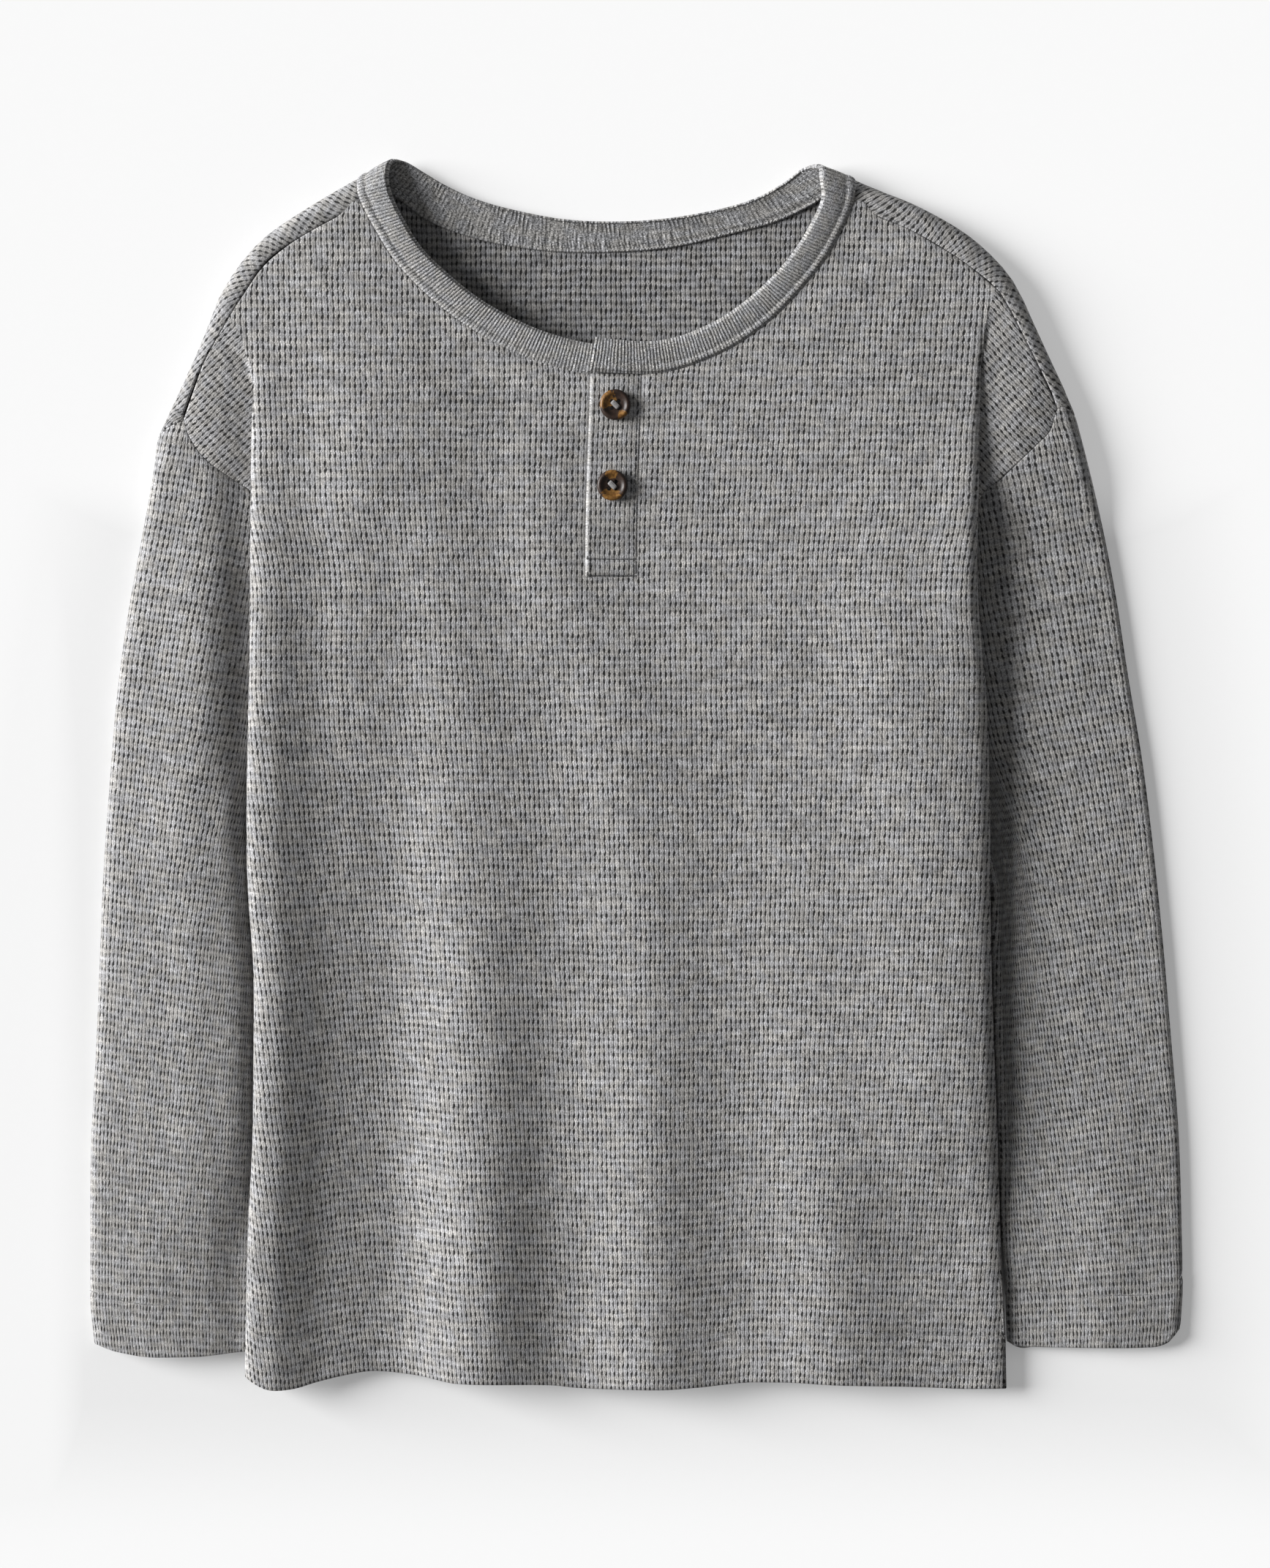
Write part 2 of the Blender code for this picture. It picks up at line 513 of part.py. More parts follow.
def make_back():
    rolls = [(share, False) for share in reversed(ROLL_SHARES)] + [(0.0, True)]
    rolls += [(share, True) for share in ROLL_SHARES]
    boundary = {}
    for side in (LEFT, RIGHT):
        ring = [(share, False) for share in (sleeve_shares(side)[-1],) + LOWER_SHARES] + rolls
        boundary[side] = [armhole_edge(side, share, over) for share, over in ring]
        boundary[side].append(shoulder_tip(side, False))
    floor_rows = len(LOWER_SHARES) + 2

    def roll_column(side, share):
        edge = np.array([side * shoulder(side, share, 1), shoulder(side, share, 2)])
        seam = np.array([side * shoulder(side, share, 3), shoulder(side, share, 4)])
        inward = unit(seam - edge)
        roll = shoulder(side, share, 5)
        edge = edge + inward * CLOTH / 2
        end = shoulder_seam(side, share, False)
        reach = np.dot(end[:2] - edge, inward)
        last = np.pi if reach >= roll else np.pi - np.arcsin(np.clip(1 - reach / roll, 0, 1))
        points = []
        for step in range(5):
            angle = last * step / (4 if reach >= roll else 5)
            spot = edge + inward * roll * (1 - np.sin(angle))
            points.append(np.array([*spot, FLOOR_LAYER + roll * (1 - np.cos(angle))]))
        return points + [end]

    def neck_column(side):
        start = BAND_AT_BACK[side]
        end = BAND_AT_SHOULDER[side]
        end += SHOULDER_END_GAP * np.sign(start - end)
        heights = (FLOOR_LAYER, 2.4, 4.8, 7.2, 8.8, 9.5)
        shares = (0, 0.22, 0.42, 0.6, 0.8, 1)
        points = []
        for share, height in zip(shares, heights):
            spot = neck_edge(start + share * (end - start))
            points.append(np.array([spot[0], spot[1], height]))
        return points

    tabs = {}
    for side in (LEFT, RIGHT):
        tab = [boundary[side][floor_rows - 1:]]
        tab += [roll_column(side, share) for share in SHOULDER_COLUMNS[1:-1]]
        tab += [neck_column(side)]
        tabs[side] = tab
    neck = []
    for place in np.linspace(BAND_AT_BACK[LEFT], BAND_AT_BACK[RIGHT], BACK_NECK_STEPS + 1)[1:-1]:
        spot = neck_edge(place)
        neck.append(np.array([spot[0], spot[1], FLOOR_LAYER]))
    top = [column[0] for column in tabs[LEFT]] + neck + [column[0] for column in tabs[RIGHT]][::-1]
    top = np.array(top)
    top[:, 2] = FLOOR_LAYER
    left = np.array(boundary[LEFT][:floor_rows])
    right = np.array(boundary[RIGHT][:floor_rows])
    span = (top[:, 0] - top[0, 0]) / (top[-1, 0] - top[0, 0])
    underarm = left[0] + span[:, None] * (right[0] - left[0])
    rows = []
    corners = {side: sleeve_inner[side](UNDERARM) - CLOTH / 2 - SEAM_GAP for side in (LEFT, RIGHT)}
    for height in (8.0, 70, 135, 200, UNDERARM + SEAM_GAP):
        ends = []
        for side in (LEFT, RIGHT):
            out = back_side[side](height)
            if height > UNDERARM:
                out = min(out, corners[side])
            ends.append(np.array([side * out, height, FLOOR_LAYER]))
        rows.append([ends[0] + share * (ends[1] - ends[0]) for share in span])
    for step in range(floor_rows):
        v = step / (floor_rows - 1)
        line = []
        for index, share in enumerate(span):
            point = ((1 - share) * left[step] + share * right[step]
                     + (1 - v) * underarm[index] + v * top[index]
                     - (1 - v) * ((1 - share) * left[0] + share * right[0])
                     - v * ((1 - share) * left[-1] + share * right[-1]))
            line.append(np.array([point[0], point[1], FLOOR_LAYER]))
        rows.append(line)
    floor_count = len(rows)
    blank = np.array([0.0, 0.0, 0.0])
    for step in range(1, len(rolls) + 1):
        line = [column[step] for column in tabs[LEFT]]
        line += [blank] * len(neck)
        line += [column[step] for column in tabs[RIGHT]][::-1]
        rows.append(line)
    grid = np.array(rows)
    keep = np.ones((grid.shape[0] - 1, grid.shape[1] - 1), bool)
    tab = len(SHOULDER_COLUMNS) - 1
    keep[floor_count - 1:, tab:-tab] = False
    return wall("back", grid, CLOTH, keep=keep)


# ---- Neckband, placket and buttons ----

def make_neckband():
    places = np.linspace(0, len(NECKBAND) - 1, (len(NECKBAND) - 1) * BAND_STEPS + 1)
    grid = []
    for place in places:
        seam, free = neck_section(place)
        grid.append([seam + (free - seam) * share for share in (0, 0.33, 0.67, 1)])
    return wall("neckband", np.array(grid), BAND_CLOTH)


def placket_strip(name, foot, head, left, right, lift):
    """A strip that follows the front's height along the slot."""
    grid = []
    for up in np.linspace(foot, head, 9):
        middle = centre_front(up)
        line = []
        for share in (0, 0.25, 0.5, 0.75, 1):
            x = middle + left + share * (right - left)
            line.append([x, up, chest(x, up) + lift])
        grid.append(line)
    return wall(name, np.array(grid), PLACKET_CLOTH)


def placket_pieces():
    half = PLACKET_WIDTH / 2
    head = 401.1 - SEAM_GAP
    over = CLOTH / 2 + LAY_GAP + PLACKET_CLOTH / 2
    under = over - PLACKET_CLOTH - LAY_GAP
    placket_strip("placket_overlap", PLACKET_FOOT, head, -half - 0.3, half, over)
    placket_strip("placket_underlap", SLOT_FOOT + SEAM_GAP, head - SEAM_GAP,
                  -half + SEAM_GAP, half - SEAM_GAP, under)
    return over + PLACKET_CLOTH / 2 + LAY_GAP


def make_button(name, up, seat_lift):
    """A turned button with a raised rim, a dished face and four holes."""
    sides = BUTTON_SIDES
    x = centre_front(up)
    seat = chest(x, up) + seat_lift
    vertices, faces, rings = [], [], []
    for radius, height in BUTTON_PROFILE:
        if radius == 0:
            rings.append([len(vertices)])
            vertices.append((0, 0, height))
            continue
        rings.append(list(range(len(vertices), len(vertices) + sides)))
        for k in range(sides):
            angle = 2 * np.pi * k / sides
            vertices.append((radius * np.cos(angle), radius * np.sin(angle), height))
    for below, above in zip(rings, rings[1:]):
        for k in range(sides):
            n = (k + 1) % sides
            if len(below) == 1:
                faces.append((below[0], above[n], above[k]))
            elif len(above) == 1:
                faces.append((below[k], below[n], above[0]))
            else:
                faces.append((below[k], below[n], above[n], above[k]))
    mesh = bpy.data.meshes.new(name)
    mesh.from_pydata([tuple(MM * value for value in vertex) for vertex in vertices], [], faces)
    button = bpy.data.objects.new(name, mesh)
    bpy.context.collection.objects.link(button)
    button.location = place(x, up, seat)
    for index, (a, b) in enumerate(((1, 1), (-1, 1), (-1, -1), (1, -1))):
        bpy.ops.mesh.primitive_cylinder_add(vertices=HOLE_SIDES, radius=HOLE_RADIUS * MM, depth=8 * MM)
        cutter = bpy.context.object
        cutter.name = f"{name}_hole_{index}"
        cutter.location = place(x + a * HOLE_OFFSET, up + b * HOLE_OFFSET, seat + 1)
        cutter.hide_render = True
        cutter.display_type = "WIRE"
        cut = button.modifiers.new("hole", "BOOLEAN")
        cut.operation = "DIFFERENCE"
        cut.object = cutter
    button.data.materials.append(material("tortoiseshell", (0.09, 0.045, 0.02), 0.25))
    return button


# ---- Walls ----

def place(x, up, height):
    return MM * x, MM * (up - LENGTH / 2), MM * height


def material(name, colour, roughness):
    found = bpy.data.materials.get(name)
    if found:
        return found
    made = bpy.data.materials.new(name)
    made.use_nodes = True
    shader = made.node_tree.nodes["Principled BSDF"]
    shader.inputs["Base Color"].default_value = (*colour, 1)
    shader.inputs["Roughness"].default_value = roughness
    shader.inputs["Metallic"].default_value = 0.0
    return made


def wall(name, grid, thickness, keep=None, around=False, flip=False):
    """A closed wall of even thickness about a grid of points; around joins its last column."""
    rows, columns = grid.shape[:2]
    cells = columns if around else columns - 1
    if keep is None:
        keep = np.ones((rows - 1, cells), bool)
    quads = []
    for r in range(rows - 1):
        for c in range(cells):
            if keep[r, c]:
                n = (c + 1) % columns
                here, above = r * columns, (r + 1) * columns
                quads.append((here + c, here + n, above + n, above + c))
    points = grid.reshape(-1, 3)
    normals = np.zeros_like(points)
    for quad in quads:
        a, b, c, d = points[list(quad)]
        normals[list(quad)] += np.cross(c - a, d - b)
    used = sorted({index for quad in quads for index in quad})
    number = {old: new for new, old in enumerate(used)}
    points, normals = points[used], normals[used]
    normals /= np.linalg.norm(normals, axis=1)[:, None]
    if flip:
        normals = -normals
        quads = [quad[::-1] for quad in quads]
    count = len(used)
    outer = points + normals * thickness / 2
    inner = points - normals * thickness / 2
    vertices = [place(*point) for point in np.vstack([outer, inner])]
    faces = []
    edges = set()
    for quad in quads:
        quad = [number[index] for index in quad]
        faces.append(quad)
        faces.append([index + count for index in reversed(quad)])
        edges |= set(zip(quad, quad[1:] + quad[:1]))
    for a, b in edges:
        if (b, a) not in edges:
            faces.append((b, a, a + count, b + count))
    mesh = bpy.data.meshes.new(name)
    mesh.from_pydata(vertices, [], faces)
    mesh.shade_smooth()
    piece = bpy.data.objects.new(name, mesh)
    bpy.context.collection.objects.link(piece)
    piece.data.materials.append(material("heather_knit", (0.22, 0.22, 0.225), 0.9))
    return piece


def main():
    for old in list(bpy.data.objects):
        bpy.data.objects.remove(old, do_unlink=True)
    make_back()
    for side in (LEFT, RIGHT):
        make_sleeve(side)
    make_front()
    make_neckband()
    seat_lift = placket_pieces()
    for name, up in zip(("button_upper", "button_lower"), BUTTON_HEIGHTS):
        make_button(name, up, seat_lift)


main()
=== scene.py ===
"""A child's long-sleeved thermal top with a two-button placket, laid flat: cloth, rib, thread,
buttons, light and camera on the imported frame.

Tables are in millimetres.  `up` is the height above the lowest point of the hem, along the
garment, and `out` is the distance to one side of the middle of the whole layout.
"""
import math
import bpy
import numpy as np
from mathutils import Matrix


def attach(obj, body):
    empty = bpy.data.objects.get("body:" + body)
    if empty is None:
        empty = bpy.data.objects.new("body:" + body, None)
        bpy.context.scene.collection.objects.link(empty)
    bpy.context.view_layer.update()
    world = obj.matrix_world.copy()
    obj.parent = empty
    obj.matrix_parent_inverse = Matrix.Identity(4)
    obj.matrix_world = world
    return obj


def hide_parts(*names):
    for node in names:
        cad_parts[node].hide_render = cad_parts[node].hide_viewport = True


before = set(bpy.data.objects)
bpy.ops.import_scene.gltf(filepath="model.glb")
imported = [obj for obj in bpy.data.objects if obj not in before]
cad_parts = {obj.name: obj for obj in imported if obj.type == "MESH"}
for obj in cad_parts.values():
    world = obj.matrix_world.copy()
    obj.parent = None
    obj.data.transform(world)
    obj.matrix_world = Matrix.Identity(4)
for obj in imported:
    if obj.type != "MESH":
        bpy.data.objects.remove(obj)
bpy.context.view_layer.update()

MM = 0.001
LENGTH = 486.6                # hem to the top of the neckband at the shoulder
CLOTH = 1.6                   # waffle knit
BAND_CLOTH = 1.8              # fine rib, folded double and pressed
PLACKET_CLOTH = 2.0           # waffle knit, folded double and pressed
SEAM_GAP = 0.12               # between the rolled edges of two pieces that are sewn together
LAY_GAP = 0.35                # between a piece and the one that it lies on
FLOOR_LAYER = CLOTH / 2       # height of the middle of a wall that lies on the ground

UNDERARM = 265.0
SLEEVE_INNER_ROLL = 2.2       # radius of the sleeve's inner fold
TUCKED = FLOOR_LAYER + 2 * SLEEVE_INNER_ROLL
PLACKET_WIDTH = 20.0
PLACKET_FOOT = 320.7          # lower end of the overlap
PLACKET_HEAD = 401.1          # the neckband's seam above both strips
SLOT_FOOT = 327.8             # lower end of the slot in the front
SLOT_HEAD = 401               # its upper end
BUTTON_HEIGHTS = (388.8, 357.0)
LEFT, RIGHT = -1, 1           # sides as seen from above, with the neck at the top

LOWER_ROWS = (0, 30, 62, 95, 130, 165, 200, 233, UNDERARM)
UPPER_STEPS = 13              # rows from the underarm to the shoulder seam
SLOT_STEP = 6                 # the upper row at the slot's foot
FOLD_CORNERS = 9              # corners of the front's folded section at each side
FOLD_ROUNDING = 2             # points for each inner corner of a folded section
FOLD_CREST = 7                # a folded section ends this far in from its outer edge
UNDERARM_SHARE = 0.965        # share across the sleeve where the front's armhole edge starts

HEM = ((-154, 5), (-148, 0.5), (-139, 0), (-122, 4), (-104, 7), (-87, 5.5), (-70, 2.5),
       (-35, 1.7), (-20, 0.4), (9, 0), (26, 1), (46, 2.8), (58, 2.8), (80, 1.7), (110, 0.9),
       (131, 0), (147, 0))                                     # x, up
CENTRE_FRONT = ((0, -3.6), (200, -7), (328, -10), (401, -8))   # up, x
CHEST = ((0, 7.6), (60, 8.2), (150, 9.2), (300, 10.6), (400, 11))      # up, height
CHEST_RISE_WIDTH = 34.0       # the chest climbs to its side folds over this width

# Soft folds of the front: x at the hem, x where it fades, up where it fades, half width, height
CHEST_FOLDS = (
    (-66, -74, 300, 20, 3.2),
    (0, -12, 330, 22, 2.8),
    (64, 84, 340, 24, 1.3),
    (-97, -100, 250, 15, -0.8),
    (-27, -38, 280, 13, -0.7),
)

FOLD_EDGE = {                 # up, out: where the front turns under at each side
    LEFT: ((0, 154.6), (47, 154), (110, 151.6), (160, 151.4), (190, 153.4), (216, 154.3),
           (290, 153.1), (355, 152.6), (383, 152.2), (401, 151.4), (415, 152.8), (429.5, 157)),
    RIGHT: ((0, 147), (36, 146.2), (67, 144), (90, 143.3), (137, 141.5), (187, 140.1),
            (239, 139.8), (270, 138.6), (325, 134.8), (359, 135.5), (398, 136.2),
            (421, 136.8), (439, 138)),
}
INNER_TURN = {                # up, out: side seam below the underarm, inner fold above it
    LEFT: ((0, 128), (200, 126), (240, 124.8), (265, 124), (280, 125.5), (298, 128.5),
           (318, 132.5), (340, 137.5), (355, 141), (380, 147.5), (400, 152), (429.5, 161.5)),
    RIGHT: ((0, 121), (200, 115.5), (240, 114.8), (265, 114.5), (280, 115.5), (298, 117),
            (318, 119), (340, 121.5), (355, 124), (380, 130), (400, 135), (421, 138.6),
            (439, 142.5)),
}
FOLD_TOP = {LEFT: 429.5, RIGHT: 439.0}
BACK_SIDE = {                 # up, out: edge of the back below the underarm
    LEFT: ((0, 131), (150, 130), (230, 127), (265, 125.2)),
    RIGHT: ((0, 124), (150, 120.5), (230, 117.5), (265, 115.7)),
}
SLEEVE_OUTER = {              # up, out
    LEFT: ((15, 214.2), (35, 216.1), (79, 216.4), (148, 213.4), (200, 211.4), (253, 207.6),
           (287, 204.4), (322, 198.7), (357, 192.2), (375.3, 189.7), (384, 184)),
    RIGHT: ((16, 214.3), (35, 216.2), (79, 215.8), (148, 211.1), (200, 206.3), (253, 199.8),
            (287, 194), (322, 188.5), (357, 181), (374, 176.7), (384.3, 174), (391.8, 170.5)),
}
SLEEVE_INNER = {              # up, out
    LEFT: ((15, 148.2), (115, 147), (200, 142.5), (240, 134), (265, 126.6), (400, 126.6)),
    RIGHT: ((16, 150.1), (35, 148.7), (67, 148.3), (91, 148), (115, 148), (160, 145.5),
            (207, 139), (240, 127.5), (265, 117.1), (400, 117.1)),
}
CUFF = {                      # share across the sleeve from its outer edge, up
    LEFT: ((0, 17.7), (0.1, 15.1), (0.35, 12.6), (0.6, 12.8), (0.85, 14.5), (1, 15.3)),
    RIGHT: ((0, 23.5), (0.014, 21), (0.047, 18.3), (0.1, 16.8), (0.18, 16.2), (0.3, 16),
            (0.75, 16.2), (0.97, 16.8), (1, 18.5)),
}
ARMHOLE_FRONT = {             # share, up: from the outer edge over the upper layer to the underarm
    LEFT: ((0, 375.3), (0.017, 379.9), (0.09, 382.5), (0.215, 374.1), (0.31, 367.4),
           (0.43, 361.9), (0.56, 356.4), (0.6, 354.7), (0.7, 340), (0.81, 318), (0.89, 298),
           (0.94, 280), (0.965, 266.5), (1, 265)),
    RIGHT: ((0, 384.3), (0.03, 388.3), (0.1, 387.2), (0.161, 380.8), (0.323, 372.1),
            (0.484, 364.2), (0.641, 356.4), (0.704, 353.8), (0.78, 340), (0.855, 318),
            (0.915, 298), (0.95, 280), (0.968, 266.5), (1, 265)),
}
ARMHOLE_BACK = {              # share, up: the same ends, along the layer on the ground
    LEFT: ((0, 375.3), (0.05, 372.5), (0.2, 362), (0.4, 346), (0.6, 325), (0.8, 293),
           (0.92, 272), (0.965, 266), (1, 265)),
    RIGHT: ((0, 384.3), (0.05, 381), (0.2, 369), (0.4, 351), (0.6, 328), (0.8, 295),
            (0.92, 273), (0.968, 266), (1, 265)),
}
ARMHOLE_TIP = {LEFT: 0.09, RIGHT: 0.1}        # share where the shoulder seam meets the armhole
ARMHOLE_HIDES = {LEFT: (0.6, 354.7), RIGHT: (0.704, 353.8)}   # share, up: under the side fold
SLEEVE_ROLL = ((15, 2.7), (120, 3.4), (375, 3.4))             # up, radius of the outer fold
SLEEVE_LOFT = ((15, 0.3), (60, 1.2), (200, 2.2), (375, 1.2))  # up, rise over the outer fold
LOWER_SHARES = (0.86, 0.72, 0.56, 0.4, 0.24, 0.12)
ROLL_SHARES = (0.014, 0.047)                                  # round the outer fold
SLEEVE_ROWS = (0, 0.04, 0.12, 0.22, 0.32, 0.42, 0.52, 0.62, 0.72, 0.81, 0.89, 0.95, 1)

SHOULDER = {                  # share from the tip, edge out, edge up, seam out, seam up, roll
    LEFT: ((0, 189.8, 375.2, 179.5, 382.5, 3.4), (0.15, 183.9, 388.3, 178.9, 386.3, 3.4),
           (0.3, 177.8, 401.5, 173.9, 399.9, 3.5), (0.45, 171.2, 416.5, 166.6, 414.3, 3.6),
           (0.6, 165.4, 431.5, 158.6, 427.6, 3.8), (0.75, 150.5, 452.5, 145.8, 446.4, 4.1),
           (0.88, 130.5, 467, 126.5, 458.9, 4.3), (1, 112, 478, 108.8, 467.8, 4.4)),
    RIGHT: ((0, 174, 384.3, 167.2, 387.2, 3.4), (0.15, 169.2, 396, 164.3, 393.8, 3.4),
            (0.3, 163.2, 408.8, 158.2, 406.2, 3.6), (0.45, 157, 422.2, 152.1, 418.2, 3.8),
            (0.6, 149, 438.5, 143.7, 433.5, 4), (0.75, 135.5, 453, 131, 444.3, 4.2),
            (0.88, 113, 467, 110, 457.3, 4.4), (1, 87.8, 478, 85.6, 466.9, 4.4)),
}
SHOULDER_COLUMNS = (0, 0.15, 0.3, 0.45, 0.6, 0.75, 0.88, 1)

# Neckband sections: seam x, seam up, seam height, free edge x, free edge up, free edge height
NECKBAND = (
    (1.5, 401.2, 9.9, 2, 412.6, 10.6), (-8.5, 400.9, 10.5, -7.5, 412.3, 11.2),
    (-19.7, 401.1, 11, -17.5, 412.7, 11.8), (-36.5, 405.4, 11.1, -32.5, 416.2, 11.9),
    (-53.1, 412.1, 11.1, -47, 422, 12), (-69.6, 422, 11, -61.5, 430.2, 12),
    (-82.9, 432.7, 10.8, -73.8, 439.8, 12), (-94.8, 445.2, 10.4, -84.8, 450.5, 11.9),
    (-103, 458, 10, -92, 461.8, 11.8), (-108.3, 468, 9.6, -96.3, 470.6, 11.6),
    (-110.3, 474.3, 8.6, -98.2, 478.4, 11), (-109.3, 478.4, 5.2, -96.8, 485.4, 7.6),
    (-102, 476, 2.8, -91.6, 485.2, 4.2), (-93.1, 470.1, 2.2, -84.3, 481, 3.4),
    (-83, 462.6, 2, -75.5, 475.8, 3.1), (-69.6, 457.2, 2, -64, 470.6, 3),
    (-53.1, 452.9, 2, -49.5, 466.4, 3), (-31, 450.1, 2, -29.5, 462.6, 3),
    (-8, 450, 2, -8.7, 461.6, 3), (15, 452, 2, 12.5, 462.9, 3),
    (38.6, 457.4, 2, 34, 466.8, 3), (55, 461.9, 2, 48, 471.2, 3.1),
    (68.3, 467.9, 2.2, 58.5, 477, 3.5), (78.5, 474.2, 2.9, 66, 482.6, 4.6),
    (85.6, 477.9, 5.4, 71.8, 483.4, 7.8), (86.3, 473.8, 8.8, 72.6, 478.6, 11.2),
    (84.9, 466.9, 9.8, 73.2, 470.2, 11.8), (80.8, 457.6, 10.3, 69.6, 461.5, 12),
    (74.6, 446.6, 10.7, 63.6, 451.3, 12), (66, 435.8, 10.9, 56, 441.6, 12),
    (54, 423.2, 11, 46.2, 432.2, 12), (38.6, 412.1, 11.1, 33.4, 422.9, 12),
    (21.8, 404.6, 11.2, 18.6, 416.2, 12), (10, 401.6, 11.6, 8.5, 413.9, 12.3),
    (2, 401.2, 12.2, 1, 413.6, 12.9), (-8.5, 401.6, 12.9, -7.6, 414.2, 13.6),
    (-18.3, 402.3, 13.3, -15.9, 415.2, 14),
)
BAND_AT_PLACKET = {LEFT: 1.86, RIGHT: 34.0}   # section beside the slot
BAND_AT_SHOULDER = {LEFT: 9.0, RIGHT: 26.0}   # section where the shoulder seam ends
BAND_AT_BACK = {LEFT: 12.6, RIGHT: 23.4}      # section where the back leaves its shoulder roll
BAND_STEPS = 2                                # steps from one section to the next
SHOULDER_END_GAP = 0.07                       # sections between the two panels at the neck
BACK_NECK_STEPS = 16

SLEEVE_NAMES = {LEFT: "sleeve_right", RIGHT: "sleeve_left"}   # the wearer's sides


def cubic(t, width, first, last, first_slope, last_slope):
    """Curve from one value to the next, over a width, with a slope at each."""
    return ((1 + 2 * t) * (1 - t) ** 2 * first + t * (1 - t) ** 2 * width * first_slope
            + t * t * (3 - 2 * t) * last - t * t * (1 - t) * width * last_slope)


def smooth(rows):
    """Monotone cubic through (key, value) rows, constant beyond both ends."""
    keys, values = (np.array(column, float) for column in zip(*rows))
    slope = np.diff(values) / np.diff(keys)
    product = slope[1:] * slope[:-1]
    total = np.where(product > 0, slope[1:] + slope[:-1], 1)
    tangent = np.concatenate([slope[:1], np.where(product > 0, 2 * product / total, 0), slope[-1:]])

    def read(key):
        key = np.clip(key, keys[0], keys[-1])
        left = np.clip(np.searchsorted(keys, key, side="right") - 1, 0, len(keys) - 2)
        width = keys[left + 1] - keys[left]
        t = (key - keys[left]) / width
        return cubic(t, width, values[left], values[left + 1], tangent[left], tangent[left + 1])
    return read


def per_side(tables):
    return {side: smooth(rows) for side, rows in tables.items()}


hem_up = smooth(HEM)
centre_front = smooth(CENTRE_FRONT)
chest_height = smooth(CHEST)
fold_edge = per_side(FOLD_EDGE)
inner_turn = per_side(INNER_TURN)
back_side = per_side(BACK_SIDE)
sleeve_outer = per_side(SLEEVE_OUTER)
sleeve_inner = per_side(SLEEVE_INNER)
cuff_up = per_side(CUFF)
armhole_front = per_side(ARMHOLE_FRONT)
armhole_back = per_side(ARMHOLE_BACK)
sleeve_roll = smooth(SLEEVE_ROLL)
sleeve_loft = smooth(SLEEVE_LOFT)


def ease(value):
    value = np.clip(value, 0, 1)
    return value * value * (3 - 2 * value)


def unit(vector):
    return vector / np.linalg.norm(vector)


def rounded(corners):
    """Quadratic spline that starts and ends on the first and last corner."""
    corners = np.asarray(corners, float)
    joints = np.vstack([corners[:1], (corners[1:-2] + corners[2:-1]) / 2, corners[-1:]])
    points = [joints[0]]
    for start, corner, end in zip(joints, corners[1:-1], joints[1:]):
        for step in range(1, FOLD_ROUNDING + 1):
            t = step / FOLD_ROUNDING
            points.append((1 - t) ** 2 * start + 2 * t * (1 - t) * corner + t * t * end)
    return np.array(points)


# ---- Neckband and the neck edge that the panels share ----

def neck_section(place):
    """Seam edge and free edge of the band at a place counted in sections."""
    sections = np.array(NECKBAND, float)
    first = int(np.clip(np.floor(place), 0, len(sections) - 2))
    t = place - first
    near = [sections[int(np.clip(first + k, 0, len(sections) - 1))] for k in (-1, 0, 1, 2)]
    point = 0.5 * (2 * near[1] + (near[2] - near[0]) * t
                   + (2 * near[0] - 5 * near[1] + 4 * near[2] - near[3]) * t ** 2
                   + (3 * near[1] - near[0] - 3 * near[2] + near[3]) * t ** 3)
    return point[:3], point[3:]


def neck_edge(place):
    """Edge of a panel beside the band's seam."""
    seam, free = neck_section(place)
    return seam - SEAM_GAP * unit(free - seam)


# ---- Heights of the laid garment ----

def chest(x, up):
    """Height of the front between its side folds."""
    height = chest_height(up)
    for x_hem, x_fade, fade, width, rise in CHEST_FOLDS:
        middle = x_hem + (x_fade - x_hem) * np.clip(up / fade, 0, 1)
        height = height + rise * (1 - ease(up / fade)) * np.exp(-((x - middle) / width) ** 2)
    for side in (LEFT, RIGHT):
        inside = fold_edge[side](up) - side * x - CLOTH / 2
        rise = fold_top_height(side, up) - chest_height(up)
        height = height + rise * (1 - ease(inside / CHEST_RISE_WIDTH))
    return height


def fold_top_height(side, up):
    share = np.clip((up - UNDERARM) / (FOLD_TOP[side] - UNDERARM), 0, 1)
    if side == LEFT:
        low = 12.4 + 2.0 * ease(up / 60)
    else:
        low = 11.4 + 3.0 * ease(up / 200)
    return low + (9.0 - low) * ease(share)


def under_fold_height(side, up):
    """Height of the layer that lies under a side fold, below the underarm."""
    return 7.1 if side == LEFT else 4.2 + 3.0 * ease((up - 60) / 140)


def shoulder(side, share, column):
    table = SHOULDER[side]
    return smooth([(row[0], row[column]) for row in table])(share)


def shoulder_line(side, share):
    """Outer edge, seam, inward direction and radius of the roll at a share from the tip."""
    edge = np.array([side * shoulder(side, share, 1), shoulder(side, share, 2)])
    seam = np.array([side * shoulder(side, share, 3), shoulder(side, share, 4)])
    return edge, seam, unit(seam - edge), shoulder(side, share, 5)


def sleeve_top(side, out, up):
    """Height of the sleeve's upper layer, and of the front beyond its side fold."""
    from_outer = sleeve_outer[side](up) - CLOTH / 2 - out
    roll = sleeve_roll(up)
    past_roll = np.maximum(from_outer - roll, 0)
    crest = FLOOR_LAYER + 2 * roll + sleeve_loft(up) * (1 - np.exp(-past_roll / 14))
    plateau = TUCKED + (crest - TUCKED) * ease((out - fold_edge[side](up)) / 18)
    if from_outer >= roll:
        return plateau
    inset = roll - max(from_outer, 0)
    return plateau - roll + np.sqrt(roll ** 2 - inset ** 2)


# ---- Sleeves ----

